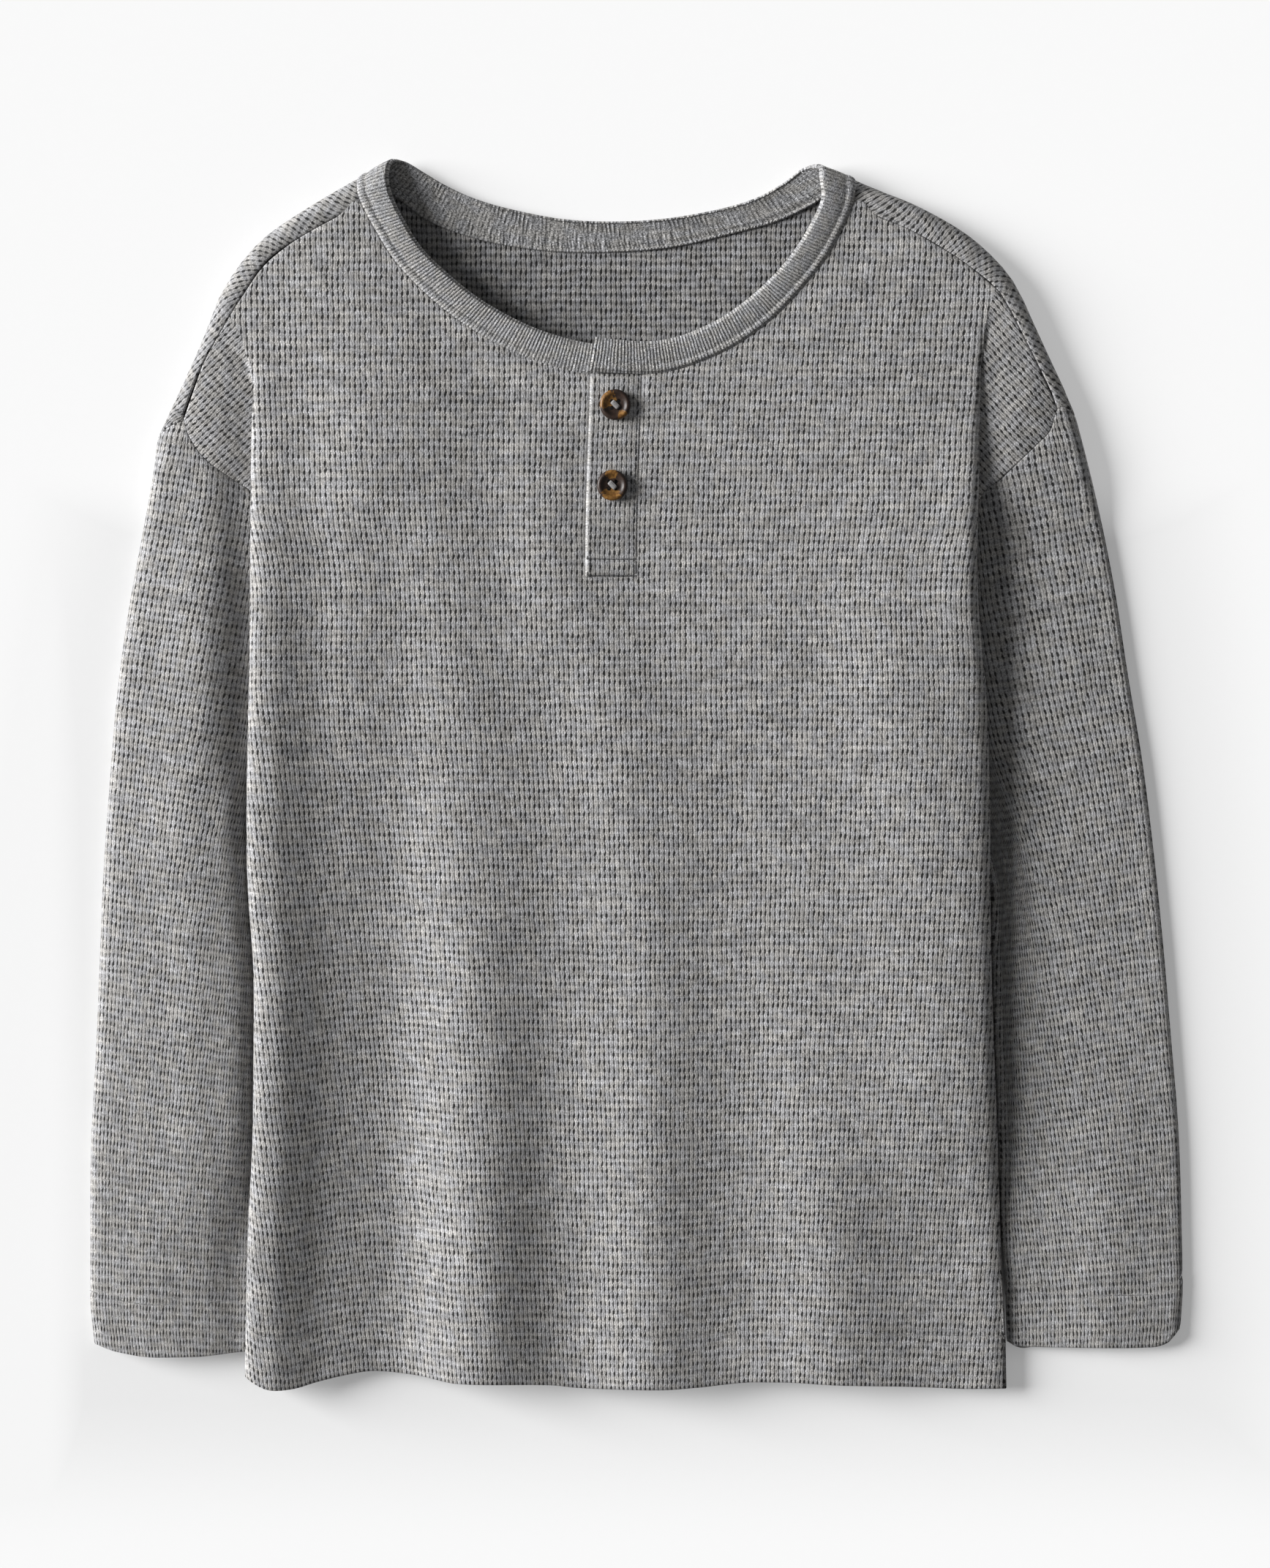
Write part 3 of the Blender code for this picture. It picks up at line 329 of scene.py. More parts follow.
def sleeve_shares(side):
    """Shares round the sleeve: upper layer from the outer edge inwards, then back below."""
    hides, hides_up = ARMHOLE_HIDES[side]
    tip = ARMHOLE_TIP[side]
    upper = []
    for step in range(UPPER_STEPS + 1):
        v = step / UPPER_STEPS
        up = UNDERARM + v * (FOLD_TOP[side] - UNDERARM)
        if up < hides_up:
            rows = [row for row in ARMHOLE_FRONT[side] if row[0] >= hides]
            share = np.interp(up, [row[1] for row in rows][::-1], [row[0] for row in rows][::-1])
            share = min(share, UNDERARM_SHARE)
        else:
            share = hides + (tip - hides) * (up - hides_up) / (FOLD_TOP[side] - hides_up)
        upper.append(float(share))
    return upper[::-1]


def sleeve_point(side, share, up, over):
    """A point of the sleeve's wall, on its upper or its lower layer."""
    outer = sleeve_outer[side](up) - CLOTH / 2
    inner = sleeve_inner[side](up)
    out = outer + share * (inner - outer)
    width = outer - inner
    from_outer, from_inner = share * width, (1 - share) * width
    roll, inner_roll = sleeve_roll(up), SLEEVE_INNER_ROLL
    if over:
        height = sleeve_top(side, out, up)
        if from_inner < inner_roll:
            inset = inner_roll - from_inner
            height = height - inner_roll + np.sqrt(inner_roll ** 2 - inset ** 2)
    else:
        height = FLOOR_LAYER
        for distance, radius in ((from_outer, roll), (from_inner, inner_roll)):
            if distance < radius:
                height += radius - np.sqrt(radius ** 2 - (radius - distance) ** 2)
    return np.array([side * out, up, height])


def sleeve_ring(side):
    """(share, on the upper layer) once round the sleeve, from its outer edge."""
    inner_round = (0.992, 1.0, 0.992)
    ring = [(0.0, True)] + [(share, True) for share in ROLL_SHARES]
    ring += [(share, True) for share in sleeve_shares(side)]
    ring += [(inner_round[0], True), (inner_round[1], True), (inner_round[2], False)]
    ring += [(sleeve_shares(side)[-1], False)]
    ring += [(share, False) for share in LOWER_SHARES]
    ring += [(share, False) for share in reversed(ROLL_SHARES)]
    return ring


def sleeve_grid(side):
    ring = sleeve_ring(side)
    grid = []
    for row in SLEEVE_ROWS:
        line = []
        for share, over in ring:
            top = (armhole_front if over else armhole_back)[side](share)
            up = cuff_up[side](share) + row * (top - cuff_up[side](share))
            line.append(sleeve_point(side, share, up, over))
        grid.append(line)
    return np.array(grid)


def armhole_edge(side, share, over):
    """Edge of a body panel beside the sleeve's armhole seam."""
    def on_seam(turned):
        upper = turned >= 0
        curve = (armhole_front if upper else armhole_back)[side]
        share = min(abs(turned), 1)
        return sleeve_point(side, share, curve(share), upper), share, curve(share), upper

    turned = share if over else -share
    spot, share, up, upper = on_seam(turned)
    along = unit(on_seam(turned + 0.004)[0] - on_seam(turned - 0.004)[0])
    lengthwise = unit(sleeve_point(side, share, up + 1, upper)
                      - sleeve_point(side, share, up - 1, upper))
    across = unit(lengthwise - np.dot(lengthwise, along) * along)
    return spot + (SEAM_GAP + 0.4 * (1 - ease(share / 0.06))) * across


# ---- Front ----

def shoulder_seam(side, share, toward_front):
    """A point beside the shoulder seam, on the front's side or on the back's."""
    edge, seam, inward, roll = shoulder_line(side, share)
    spot = seam + inward * (SEAM_GAP / 2 if toward_front else -SEAM_GAP / 2)
    inset = np.clip(roll + CLOTH / 2 - np.dot(spot - edge, inward), 0, roll)
    return np.array([spot[0], spot[1], FLOOR_LAYER + roll + np.sqrt(roll ** 2 - inset ** 2)])


def shoulder_tip(side, toward_front):
    """Where the shoulder seam meets the armhole, moved to the front's or the back's side."""
    _, _, inward, _ = shoulder_line(side, 0)
    shift = inward * (SEAM_GAP / 2 if toward_front else -SEAM_GAP / 2)
    return armhole_edge(side, ARMHOLE_TIP[side], True) + np.array([*shift, 0])


def nearest_on_seam(side, out):
    """The front's point on the shoulder seam at a distance from the middle."""
    seam = np.array([shoulder_seam(side, share, True) for share in SHOULDER_COLUMNS])
    order = np.argsort(side * seam[:, 0])
    return np.array([np.interp(out, side * seam[order, 0], seam[order, k]) for k in range(3)])


def side_section(side, v, up_lower, edge_point, top_start):
    """Section of one side of the front, from its sewn edge round the fold to the chest.

    Below the underarm v is 0 and up_lower is the height; above it v runs from 0 to 1.
    """
    lower = up_lower is not None
    top = FOLD_TOP[side]
    up = up_lower if lower else UNDERARM + v * (top - UNDERARM)
    up_start = up_lower if lower else UNDERARM + v * (top_start - UNDERARM)
    turn = inner_turn[side](up)
    edge = fold_edge[side](up) - CLOTH / 2
    crown = fold_top_height(side, up)
    if lower:
        back = under_fold_height(side, up)
    else:
        back = 7.4 + 0.3 * ease(v / 0.55) + 1.2 * ease((v - 0.55) / 0.45)
    tucked = max(edge - turn, 0)       # the fold lies over the layer below by this much
    apart = max(turn - edge, 0)        # or the step between the two is still open by this much
    if lower:
        hanging = ease((up - 200) / (UNDERARM - 200))
        seam_height = 2.7 + 2.2 * hanging
        corners = [
            (turn - 0.2 * hanging, up, seam_height),
            (turn + 2 - 2 * hanging, up, seam_height + 0.1 + 0.7 * hanging),
            (turn + 4 - 4 * hanging, up, seam_height + 0.5 + 1.2 * hanging),
            (turn + 9 - 7.5 * hanging, up, back - 0.1),
        ]
    else:
        valley = 5.1 + 0.3 * ease(v / 0.5) + 3.4 * ease((v - 0.5) / 0.5)
        held = np.array([side * edge_point[0], edge_point[1], edge_point[2]])
        inner = np.array([turn, up, valley])
        corners = [held, (held + inner) / 2, inner, (turn - 0.2 * apart, up, back)]
    bend = edge - min(7.0, tucked / 3) + 0.4 * apart
    corners += [
        ((corners[-1][0] + bend) / 2, up, back),
        (bend, up, back),
        (edge + 0.2 * apart, up, back),
        (edge, up, crown),
        (edge - FOLD_CREST, up_start, crown),
    ]
    points = rounded(corners)
    points[:, 0] *= side
    return points


def front_grid():
    sides = (LEFT, RIGHT)
    tops = {}
    for side in sides:
        start_out = fold_edge[side](FOLD_TOP[side]) - CLOTH / 2 - FOLD_CREST
        start = nearest_on_seam(side, start_out)
        start_place, end_place = BAND_AT_SHOULDER[side], BAND_AT_PLACKET[side]
        step = np.sign(end_place - start_place) / BAND_STEPS
        neck = [neck_edge(place) for place in np.arange(start_place, end_place, step)]
        neck.append(neck_edge(end_place))
        neck_out = side * neck[0][0]
        along = [nearest_on_seam(side, out)
                 for out in np.linspace(start_out, neck_out, 5)[1:-1]]
        slot_x = centre_front(SLOT_HEAD) + side * PLACKET_WIDTH / 2
        corner = np.array([slot_x, neck[-1][1], chest(slot_x, neck[-1][1])])
        tops[side] = [start] + along + neck[:-1] + [corner]
    across = len(tops[LEFT])
    bridge = [tops[LEFT][-1] + (tops[RIGHT][-1] - tops[LEFT][-1]) * k / 3 for k in (1, 2)]
    crest = tops[LEFT] + bridge + tops[RIGHT][::-1]
    edges = {side: [armhole_edge(side, share, True) for share in sleeve_shares(side)[::-1][:-1]]
             + [shoulder_tip(side, True)] for side in sides}

    def chest_row(share_up, limits):
        """Points across the chest; share_up gives the height for a column's top."""
        line = []
        for index, top in enumerate(crest):
            up = share_up(top)
            middle = centre_front(up)
            if across <= index < across + 2:
                first = middle - PLACKET_WIDTH / 2
                last = middle + PLACKET_WIDTH / 2
                part = (index - across + 1) / 3
            else:
                side = LEFT if index < across else RIGHT
                line_top = tops[side]
                column = index if side == LEFT else len(crest) - 1 - index
                first = limits[side]
                last = middle + side * PLACKET_WIDTH / 2
                part = (line_top[column][0] - line_top[0][0]) / (line_top[-1][0] - line_top[0][0])
            x = first + part * (last - first)
            line.append(np.array([x, up, chest(x, up)]))
        return line

    rows = []
    for height in LOWER_ROWS[:-1]:
        wave = 1 - height / UNDERARM
        sections = {side: side_section(side, 0, height, None, 0) for side in sides}
        limits = {side: sections[side][-1][0] for side in sides}
        line = chest_row(lambda top: float(height), limits)
        row = list(sections[LEFT][:-1]) + line + list(sections[RIGHT][:-1][::-1])
        for point in row:
            point[1] += wave * hem_up(point[0])
        rows.append(row)
    for step in range(UPPER_STEPS + 1):
        v = step / UPPER_STEPS
        sections = {}
        for side in sides:
            if step == 0:
                sections[side] = side_section(side, 0, UNDERARM, None, 0)
            else:
                sections[side] = side_section(side, v, None, edges[side][step], tops[side][0][1])
        limits = {side: sections[side][-1][0] for side in sides}
        line = chest_row(lambda top: UNDERARM + v * (top[1] - UNDERARM), limits)
        for point, top in zip(line, crest):
            surplus = top[2] - chest(top[0], top[1])
            point[2] += surplus * v ** 8
        if step == UPPER_STEPS:
            line = [top.copy() for top in crest]
            for side in sides:
                section = sections[side]
                for index in range(1, len(section) - 1):
                    section[index] = nearest_on_seam(side, side * section[index][0])
        rows.append(list(sections[LEFT][:-1]) + line + list(sections[RIGHT][:-1][::-1]))
    slot_row = len(LOWER_ROWS) - 1 + SLOT_STEP
    slot_column = FOLD_ROUNDING * (FOLD_CORNERS - 2) + across - 1
    return np.array(rows), slot_row, slot_column


def back_grid():
    rolls = [(share, False) for share in reversed(ROLL_SHARES)] + [(0.0, True)]
    rolls += [(share, True) for share in ROLL_SHARES]
    boundary = {}
    for side in (LEFT, RIGHT):
        ring = [(share, False) for share in (sleeve_shares(side)[-1],) + LOWER_SHARES] + rolls
        boundary[side] = [armhole_edge(side, share, over) for share, over in ring]
        boundary[side].append(shoulder_tip(side, False))
    floor_rows = len(LOWER_SHARES) + 2

    def roll_column(side, share):
        edge, _, inward, roll = shoulder_line(side, share)
        edge = edge + inward * CLOTH / 2
        end = shoulder_seam(side, share, False)
        reach = np.dot(end[:2] - edge, inward)
        last = np.pi if reach >= roll else np.pi - np.arcsin(np.clip(1 - reach / roll, 0, 1))
        points = []
        for step in range(5):
            angle = last * step / (4 if reach >= roll else 5)
            spot = edge + inward * roll * (1 - np.sin(angle))
            points.append(np.array([*spot, FLOOR_LAYER + roll * (1 - np.cos(angle))]))
        return points + [end]

    def neck_column(side):
        start = BAND_AT_BACK[side]
        end = BAND_AT_SHOULDER[side]
        end += SHOULDER_END_GAP * np.sign(start - end)
        heights = (FLOOR_LAYER, 2.4, 4.8, 7.2, 8.8, 9.5)
        shares = (0, 0.22, 0.42, 0.6, 0.8, 1)
        points = []
        for share, height in zip(shares, heights):
            spot = neck_edge(start + share * (end - start))
            points.append(np.array([spot[0], spot[1], height]))
        return points

    tabs = {}
    for side in (LEFT, RIGHT):
        tab = [boundary[side][floor_rows - 1:]]
        tab += [roll_column(side, share) for share in SHOULDER_COLUMNS[1:-1]]
        tab += [neck_column(side)]
        tabs[side] = tab
    neck = []
    for place in np.linspace(BAND_AT_BACK[LEFT], BAND_AT_BACK[RIGHT], BACK_NECK_STEPS + 1)[1:-1]:
        spot = neck_edge(place)
        neck.append(np.array([spot[0], spot[1], FLOOR_LAYER]))
    top = [column[0] for column in tabs[LEFT]] + neck + [column[0] for column in tabs[RIGHT]][::-1]
    top = np.array(top)
    top[:, 2] = FLOOR_LAYER
    left = np.array(boundary[LEFT][:floor_rows])
    right = np.array(boundary[RIGHT][:floor_rows])
    span = (top[:, 0] - top[0, 0]) / (top[-1, 0] - top[0, 0])
    underarm = left[0] + span[:, None] * (right[0] - left[0])
    rows = []
    corners = {side: sleeve_inner[side](UNDERARM) - CLOTH / 2 - SEAM_GAP for side in (LEFT, RIGHT)}
    for height in (8.0, 70, 135, 200, UNDERARM + SEAM_GAP):
        ends = []
        for side in (LEFT, RIGHT):
            out = back_side[side](height)
            if height > UNDERARM:
                out = min(out, corners[side])
            ends.append(np.array([side * out, height, FLOOR_LAYER]))
        rows.append([ends[0] + share * (ends[1] - ends[0]) for share in span])
    for step in range(floor_rows):
        v = step / (floor_rows - 1)
        line = []
        for index, share in enumerate(span):
            point = ((1 - share) * left[step] + share * right[step]
                     + (1 - v) * underarm[index] + v * top[index]
                     - (1 - v) * ((1 - share) * left[0] + share * right[0])
                     - v * ((1 - share) * left[-1] + share * right[-1]))
            line.append(np.array([point[0], point[1], FLOOR_LAYER]))
        rows.append(line)
    floor_count = len(rows)
    blank = np.array([0.0, 0.0, 0.0])
    for step in range(1, len(rolls) + 1):
        line = [column[step] for column in tabs[LEFT]]
        line += [blank] * len(neck)
        line += [column[step] for column in tabs[RIGHT]][::-1]
        rows.append(line)
    return np.array(rows), floor_count, len(SHOULDER_COLUMNS) - 1


# ---- Cloth, seams and thread ----

SHELL = 1.3                   # wall of the shown knit
RIM_ANGLES = (45, 90, 135)    # turn round the rolled edge of the cloth
RIM_PULL = 0.7                # the edge is drawn in by this share of half the wall
FRONT_STEP, BACK_STEP, SLEEVE_STEP = 1.95, 3.2, 2.1     # spacing of the cloth's points
SHOULDER_ROLL_STEP = 1.2      # the same round the back's shoulder rolls
SHOULDER_ROLL_RUN = 16.0      # cloth of the back that stands over its flat part at the shoulders
HEM_DEPTH = 20.0
HEM_RISE = 0.28               # the turned hem is thicker by this much
STITCH_GROOVE = 0.28          # depth of the groove under a row of stitches
HEM_STITCH_ROWS = (17.6, 20.8)
HEM_POINTS = 60               # rows of points, from the edge, that are searched for a stitch row
YOKE_LEAN = {LEFT: -47.0, RIGHT: 43.0}        # turn of the knit on the side folds at the shoulders
SLEEVE_WALES = {LEFT: 1.06, RIGHT: 0.95}      # how close the wales stand round each sleeve
SLEEVE_MIDDLE = 175           # out: where the courses of a sleeve keep their height
SHOULDER_SHOWS = 3            # the back's cloth above this height is on the shoulders
FRONT_RIB, BACK_RIB = (1.3, 0.18), (1.86, 0.32)     # pitch and height of the neckband's ribs
BAND_INSIDE = (11.2, 25.2)    # sections between which the band shows its inside
BAND_INSIDE_FADE = 1.2        # sections from one rib to the other
BAND_STATION = 0.225          # spacing of the neckband's points along it
BAND_WIDTH = 12.0
BAND_STITCH_SHARE = 0.26      # the topstitch lies here across the band
BAND_PROFILE = (              # share across the band from its seam, rise over the flat band
    (0, 0.0), (0.05, 0.2), (0.11, 0.32), (0.17, 0.32), (0.21, 0.18), (0.245, -0.08), (0.28, -0.13),
    (0.32, 0.04), (0.42, 0.16), (0.55, 0.26), (0.68, 0.26), (0.8, 0.2), (0.9, 0.08), (0.96, -0.1),
    (1, -0.3),
)
STRIP_SHELL = 1.2             # wall of the shown placket strips
STRIP_SETTLED = 1.4           # the overlap lies this much lower than its solid
STRIP_SUNK = 0.45             # and this much more where it is sewn down
UNDERLAP_SETTLED = 0.4        # the underlap lies this much lower than its solid
PLACKET_BOX = 7.2             # from the foot of the overlap to the upper row of its stitched box
BUTTON_PROFILE = ((0, 0), (4.6, 0), (5.5, 0.3), (5.95, 0.75), (6.1, 1.3), (5.95, 1.85),
                  (5.6, 2.2), (5.2, 2.38), (4.85, 2.4), (4.5, 2.28), (4.15, 2.02), (3.7, 1.7),
                  (3.0, 1.5), (0, 1.45))      # radius, height above its seat
BUTTON_SIDES = 72
BUTTON_SOFTENING = 0.09       # width of the bevel round its holes
HOLE_RADIUS, HOLE_OFFSET, HOLE_SIDES = 0.8, 1.35, 24
BUTTON_SEAT = 1.55            # from the middle of the front's cloth to the button's underside
STRAND_RADIUS, STRAND_SPACING = 0.2, 0.27
STRAND_SIDES, STRAND_STEPS = 8, 15
DIAGONAL = 0.707              # sideways share of a length that runs at 45 degrees
AMBER_CLOUDS = {              # large and small cloud: x and up from the button's middle, radius
    "button_upper": ((-4.2, 2.2, 3.9), (3.0, -4.2, 2.1)),
    "button_lower": ((-0.2, -5.2, 4.1), (-0.3, 4.6, 2.3)),
}

# ---- Light and camera, in metres and degrees ----

KEY_STRENGTH, KEY_SOFTNESS = 7.1, 32
KEY_ELEVATION, KEY_TURN = 20, -102
FILL_STRENGTH = 0.17
# Painted light: the laying surface's own glow, which lifts the shadows cast on it.
SURFACE_GLOW = 0.37
SURFACE_REACH = 3.0           # half the width of the laying surface
CAMERA_DISTANCE, CAMERA_FRAME = 3.0, 0.6215
CAMERA_X, CAMERA_Y = -0.00058, -0.0042
SENSOR_HEIGHT = 36            # millimetres


def place(x, up, height):
    return MM * x, MM * (up - LENGTH / 2), MM * height


def add_object(name, mesh):
    piece = bpy.data.objects.new(name, mesh)
    bpy.context.collection.objects.link(piece)
    return piece


# ---- Soft relief of the laid cloth ----

# Each ridge is a row of (up, x, height) along it, then its width to the left and to the right.
FRONT_RIDGES = (
    (((-10, -59, 4.4), (90, -58, 4.0), (160, -61, 3.2), (230, -66, 2.2), (275, -72, 2.0),
      (320, -77, 2.3), (365, -82, 1.4), (400, -86, 0)), 21, 22),
    (((-10, -142, 0.9), (120, -141, 1.0), (220, -142, 0.8), (290, -144, 0.8), (390, -148, 0.9),
      (425, -149, 0)), 6, 13),
    (((-10, -94, -3.0), (110, -95, -3.0), (220, -94, -1.9), (290, -94, -1.0), (340, -96, 0)),
     25, 14),
    (((-10, 10, 3.2), (90, 9, 2.7), (160, 6, 2.0), (240, -4, 1.6), (300, -20, 1.5),
      (340, -38, 1.2), (380, -52, 0)), 15, 22),
    (((-10, 80, 2.9), (70, 76, 2.2), (120, 68, 1.3), (200, 62, 0.8), (260, 60, 0.5),
      (320, 60, 0)), 17, 22),
    (((230, 100, 0), (270, 100, 1.0), (320, 100, 1.3), (350, 104, 1.0), (400, 110, 0)), 17, 15),
    (((285, 131, 0), (320, 131, 0.8), (360, 131, 0.8), (400, 134, 0)), 14, 14),
    (((180, -112, 0), (240, -110, 0.7), (300, -110, 2.1), (350, -112, 1.8), (410, -118, 0)),
     15, 18),
    (((330, -101, 0), (370, -101, 2.3), (400, -101, 2.2), (435, -101, 0)), 24, 34),
    (((270, -40, 0), (320, -37, 1.4), (390, -37, 1.2), (425, -37, 0)), 15, 16),
)
# Rise of the front towards its right fold: (distance in from the fold, rise over the chest).
SIDE_AT_HEM = ((0, -2.1), (12, -2.0), (24, -1.6), (36, -0.9), (48, -0.3), (62, 0))
SIDE_ABOVE = ((0, 1.7), (8, 2.5), (16, 3.2), (24, 3.6), (32, 3.4), (40, 2.7), (50, 1.6),
              (62, 0.6), (76, 0.1), (90, 0))
SLEEVE_RIDGES = {
    LEFT: (
        (((0, -187, 2.0), (100, -187, 1.6), (180, -184, 1.3), (250, -175, 2.6), (300, -172, 2.9),
          (350, -172, 1.7), (385, -172, 0)), 18, 24),
    ),
    RIGHT: (
        (((0, 186, 0.3), (28, 188, 1.7), (60, 189, 1.6), (110, 190, 0.8), (160, 190, 0)), 13, 18),
    ),
}
# Height of a sleeve's upper layer: (distance out from the body's fold, height).
LOW_SLEEVE = ((-20, 3.4), (-2, 3.4), (4, 3.1), (14, 3.1), (24, 3.4), (34, 3.6), (46, 3.3),
              (58, 2.9), (66, 2.8))
FULL_SLEEVE = ((-20, 5.2), (-2, 5.2), (1, 6.8), (3, 9.2), (6, 10.6), (10, 11.1), (20, 11.2),
               (28, 10.5), (36, 9.7), (60, 8.0))
LOWEST_SLEEVE = 2.7
# Line below which the front's relief has its full height: (x, up).
CALM_LINE = ((-150, 428), (-112, 440), (-90, 432), (-60, 410), (-30, 398), (15, 396), (45, 408),
             (72, 432), (92, 440), (140, 430))
CALM_FADE = 34


def ridge_height(ridges, x, up):
    """Added height of a set of long soft ridges."""
    total = np.zeros_like(np.asarray(x, float))
    for rows, left_width, right_width in ridges:
        middle = smooth([(row[0], row[1]) for row in rows])(up)
        rise = smooth([(row[0], row[2]) for row in rows])(up)
        width = np.where(x < middle, left_width, right_width)
        total = total + rise * np.exp(-((x - middle) / width) ** 2)
    return total


def right_side_relief(x, up):
    """Change from the solid's rise at the right fold to the softer one that is shown."""
    inside = fold_edge[RIGHT](up) - CLOTH / 2 - x
    solid = ((fold_top_height(RIGHT, up) - chest_height(up))
             * (1 - ease(inside / CHEST_RISE_WIDTH)))
    at_hem, above = smooth(SIDE_AT_HEM)(inside), smooth(SIDE_ABOVE)(inside)
    shown = at_hem + (above - at_hem) * ease((up - 48) / 76)
    return (shown - solid) * ease((352 - up) / 90) * ease(x / 40)


def front_relief(x, up):
    """Creases of the front, which end before the seams at the neck and shoulders."""
    clear_of_seams = ease((smooth(CALM_LINE)(x) - up) / CALM_FADE)
    return (ridge_height(FRONT_RIDGES, x, up) + right_side_relief(x, up)) * clear_of_seams


# ---- Finer grids ----

def unit_rows(vectors):
    return vectors / np.maximum(np.linalg.norm(vectors, axis=-1), 1e-9)[..., None]


def row_slopes(points):
    """Typical distance from each row of a grid to the next, and the slope at each row."""
    gaps = np.linalg.norm(np.diff(points, axis=0), axis=2)
    width = np.maximum(np.percentile(gaps, 60, axis=1), 1e-3)
    slope = np.diff(points, axis=0) / width[:, None, None]
    before, after = width[:-1, None, None], width[1:, None, None]
    inner = (slope[:-1] * after + slope[1:] * before) / (before + after)
    return width, np.concatenate([slope[:1], inner, slope[-1:]])


def rows_between(points, width, slopes, k, pieces):
    """Rows of a smooth surface from row k of a grid to just before the next."""
    return [cubic(piece / pieces, width[k], points[k], points[k + 1], slopes[k], slopes[k + 1])
            for piece in range(pieces)]


def finer(points, step, around=False):
    """Cubic through the rows of a grid.  Gives the finer rows and where each old row went."""
    count = len(points)
    if around:
        points = np.concatenate([points[-1:], points, points[:2]])
    width, slopes = row_slopes(points)
    first = 1 if around else 0
    last = first + count - (0 if around else 1)
    rows, marks = [], []
    for k in range(first, last):
        marks.append(len(rows))
        rows += rows_between(points, width, slopes, k, max(1, int(round(width[k] / step))))
    if not around:
        marks.append(len(rows))
        rows.append(points[last])
    return np.array(rows), marks


def finer_grid(grid, step, around=False):
    rows, row_marks = finer(grid, step)
    columns, column_marks = finer(rows.transpose(1, 0, 2), step, around)
    return columns.transpose(1, 0, 2), row_marks, column_marks


def columns_as(grid, steps):
    """Split each column interval of a grid into a given number of steps."""
    turned = grid.transpose(1, 0, 2)
    width, slopes = row_slopes(turned)
    lines = []
    for k, count in enumerate(steps):
        lines += rows_between(turned, width, slopes, k, count)
    lines.append(turned[-1])
    return np.array(lines).transpose(1, 0, 2)


def grid_normals(grid):
    return unit_rows(np.cross(np.gradient(grid, axis=1), np.gradient(grid, axis=0)))


def run_across(grid):
    """Length along each row of a grid, from its first column."""
    steps = np.linalg.norm(np.diff(grid, axis=1), axis=2)
    return np.concatenate([np.zeros((len(grid), 1)), np.cumsum(steps, axis=1)], axis=1)


# ---- Cloth shells ----

def grid_quads(shape, keep, around):
    """Cells of a grid as rows of four point numbers, with each cell's row and column."""
    rows, columns = shape
    if keep is None:
        keep = np.ones((rows - 1, columns if around else columns - 1), bool)
    r, c = np.nonzero(keep)
    n = (c + 1) % columns
    below, above = r * columns, (r + 1) * columns
    return np.stack([below + c, below + n, above + n, above + c], 1), r, c


def point_normals(points, quads):
    corner = points[quads]
    face_normal = np.cross(corner[:, 2] - corner[:, 0], corner[:, 3] - corner[:, 1])
    normals = np.zeros_like(points)
    for k in range(4):
        np.add.at(normals, quads[:, k], face_normal)
    return normals


def open_edges(quads, count):
    """Edges that only one cell has, and the number of that cell."""
    edges = np.concatenate([quads[:, [k, (k + 1) % 4]] for k in range(4)])
    cells = np.tile(np.arange(len(quads)), 4)
    free = ~np.isin(edges[:, 0] * count + edges[:, 1], edges[:, 1] * count + edges[:, 0])
    return edges[free], cells[free]


def rim_outward(points, normals, rim, flip):
    """Direction out of the cloth at each point of its rim."""
    along = points[rim[:, 1]] - points[rim[:, 0]]
    sideways = unit_rows(np.cross(along, normals[rim[:, 0]]) * (-1 if flip else 1))
    outward = np.zeros_like(points)
    for end in (0, 1):
        np.add.at(outward, rim[:, end], sideways)
    return unit_rows(outward)


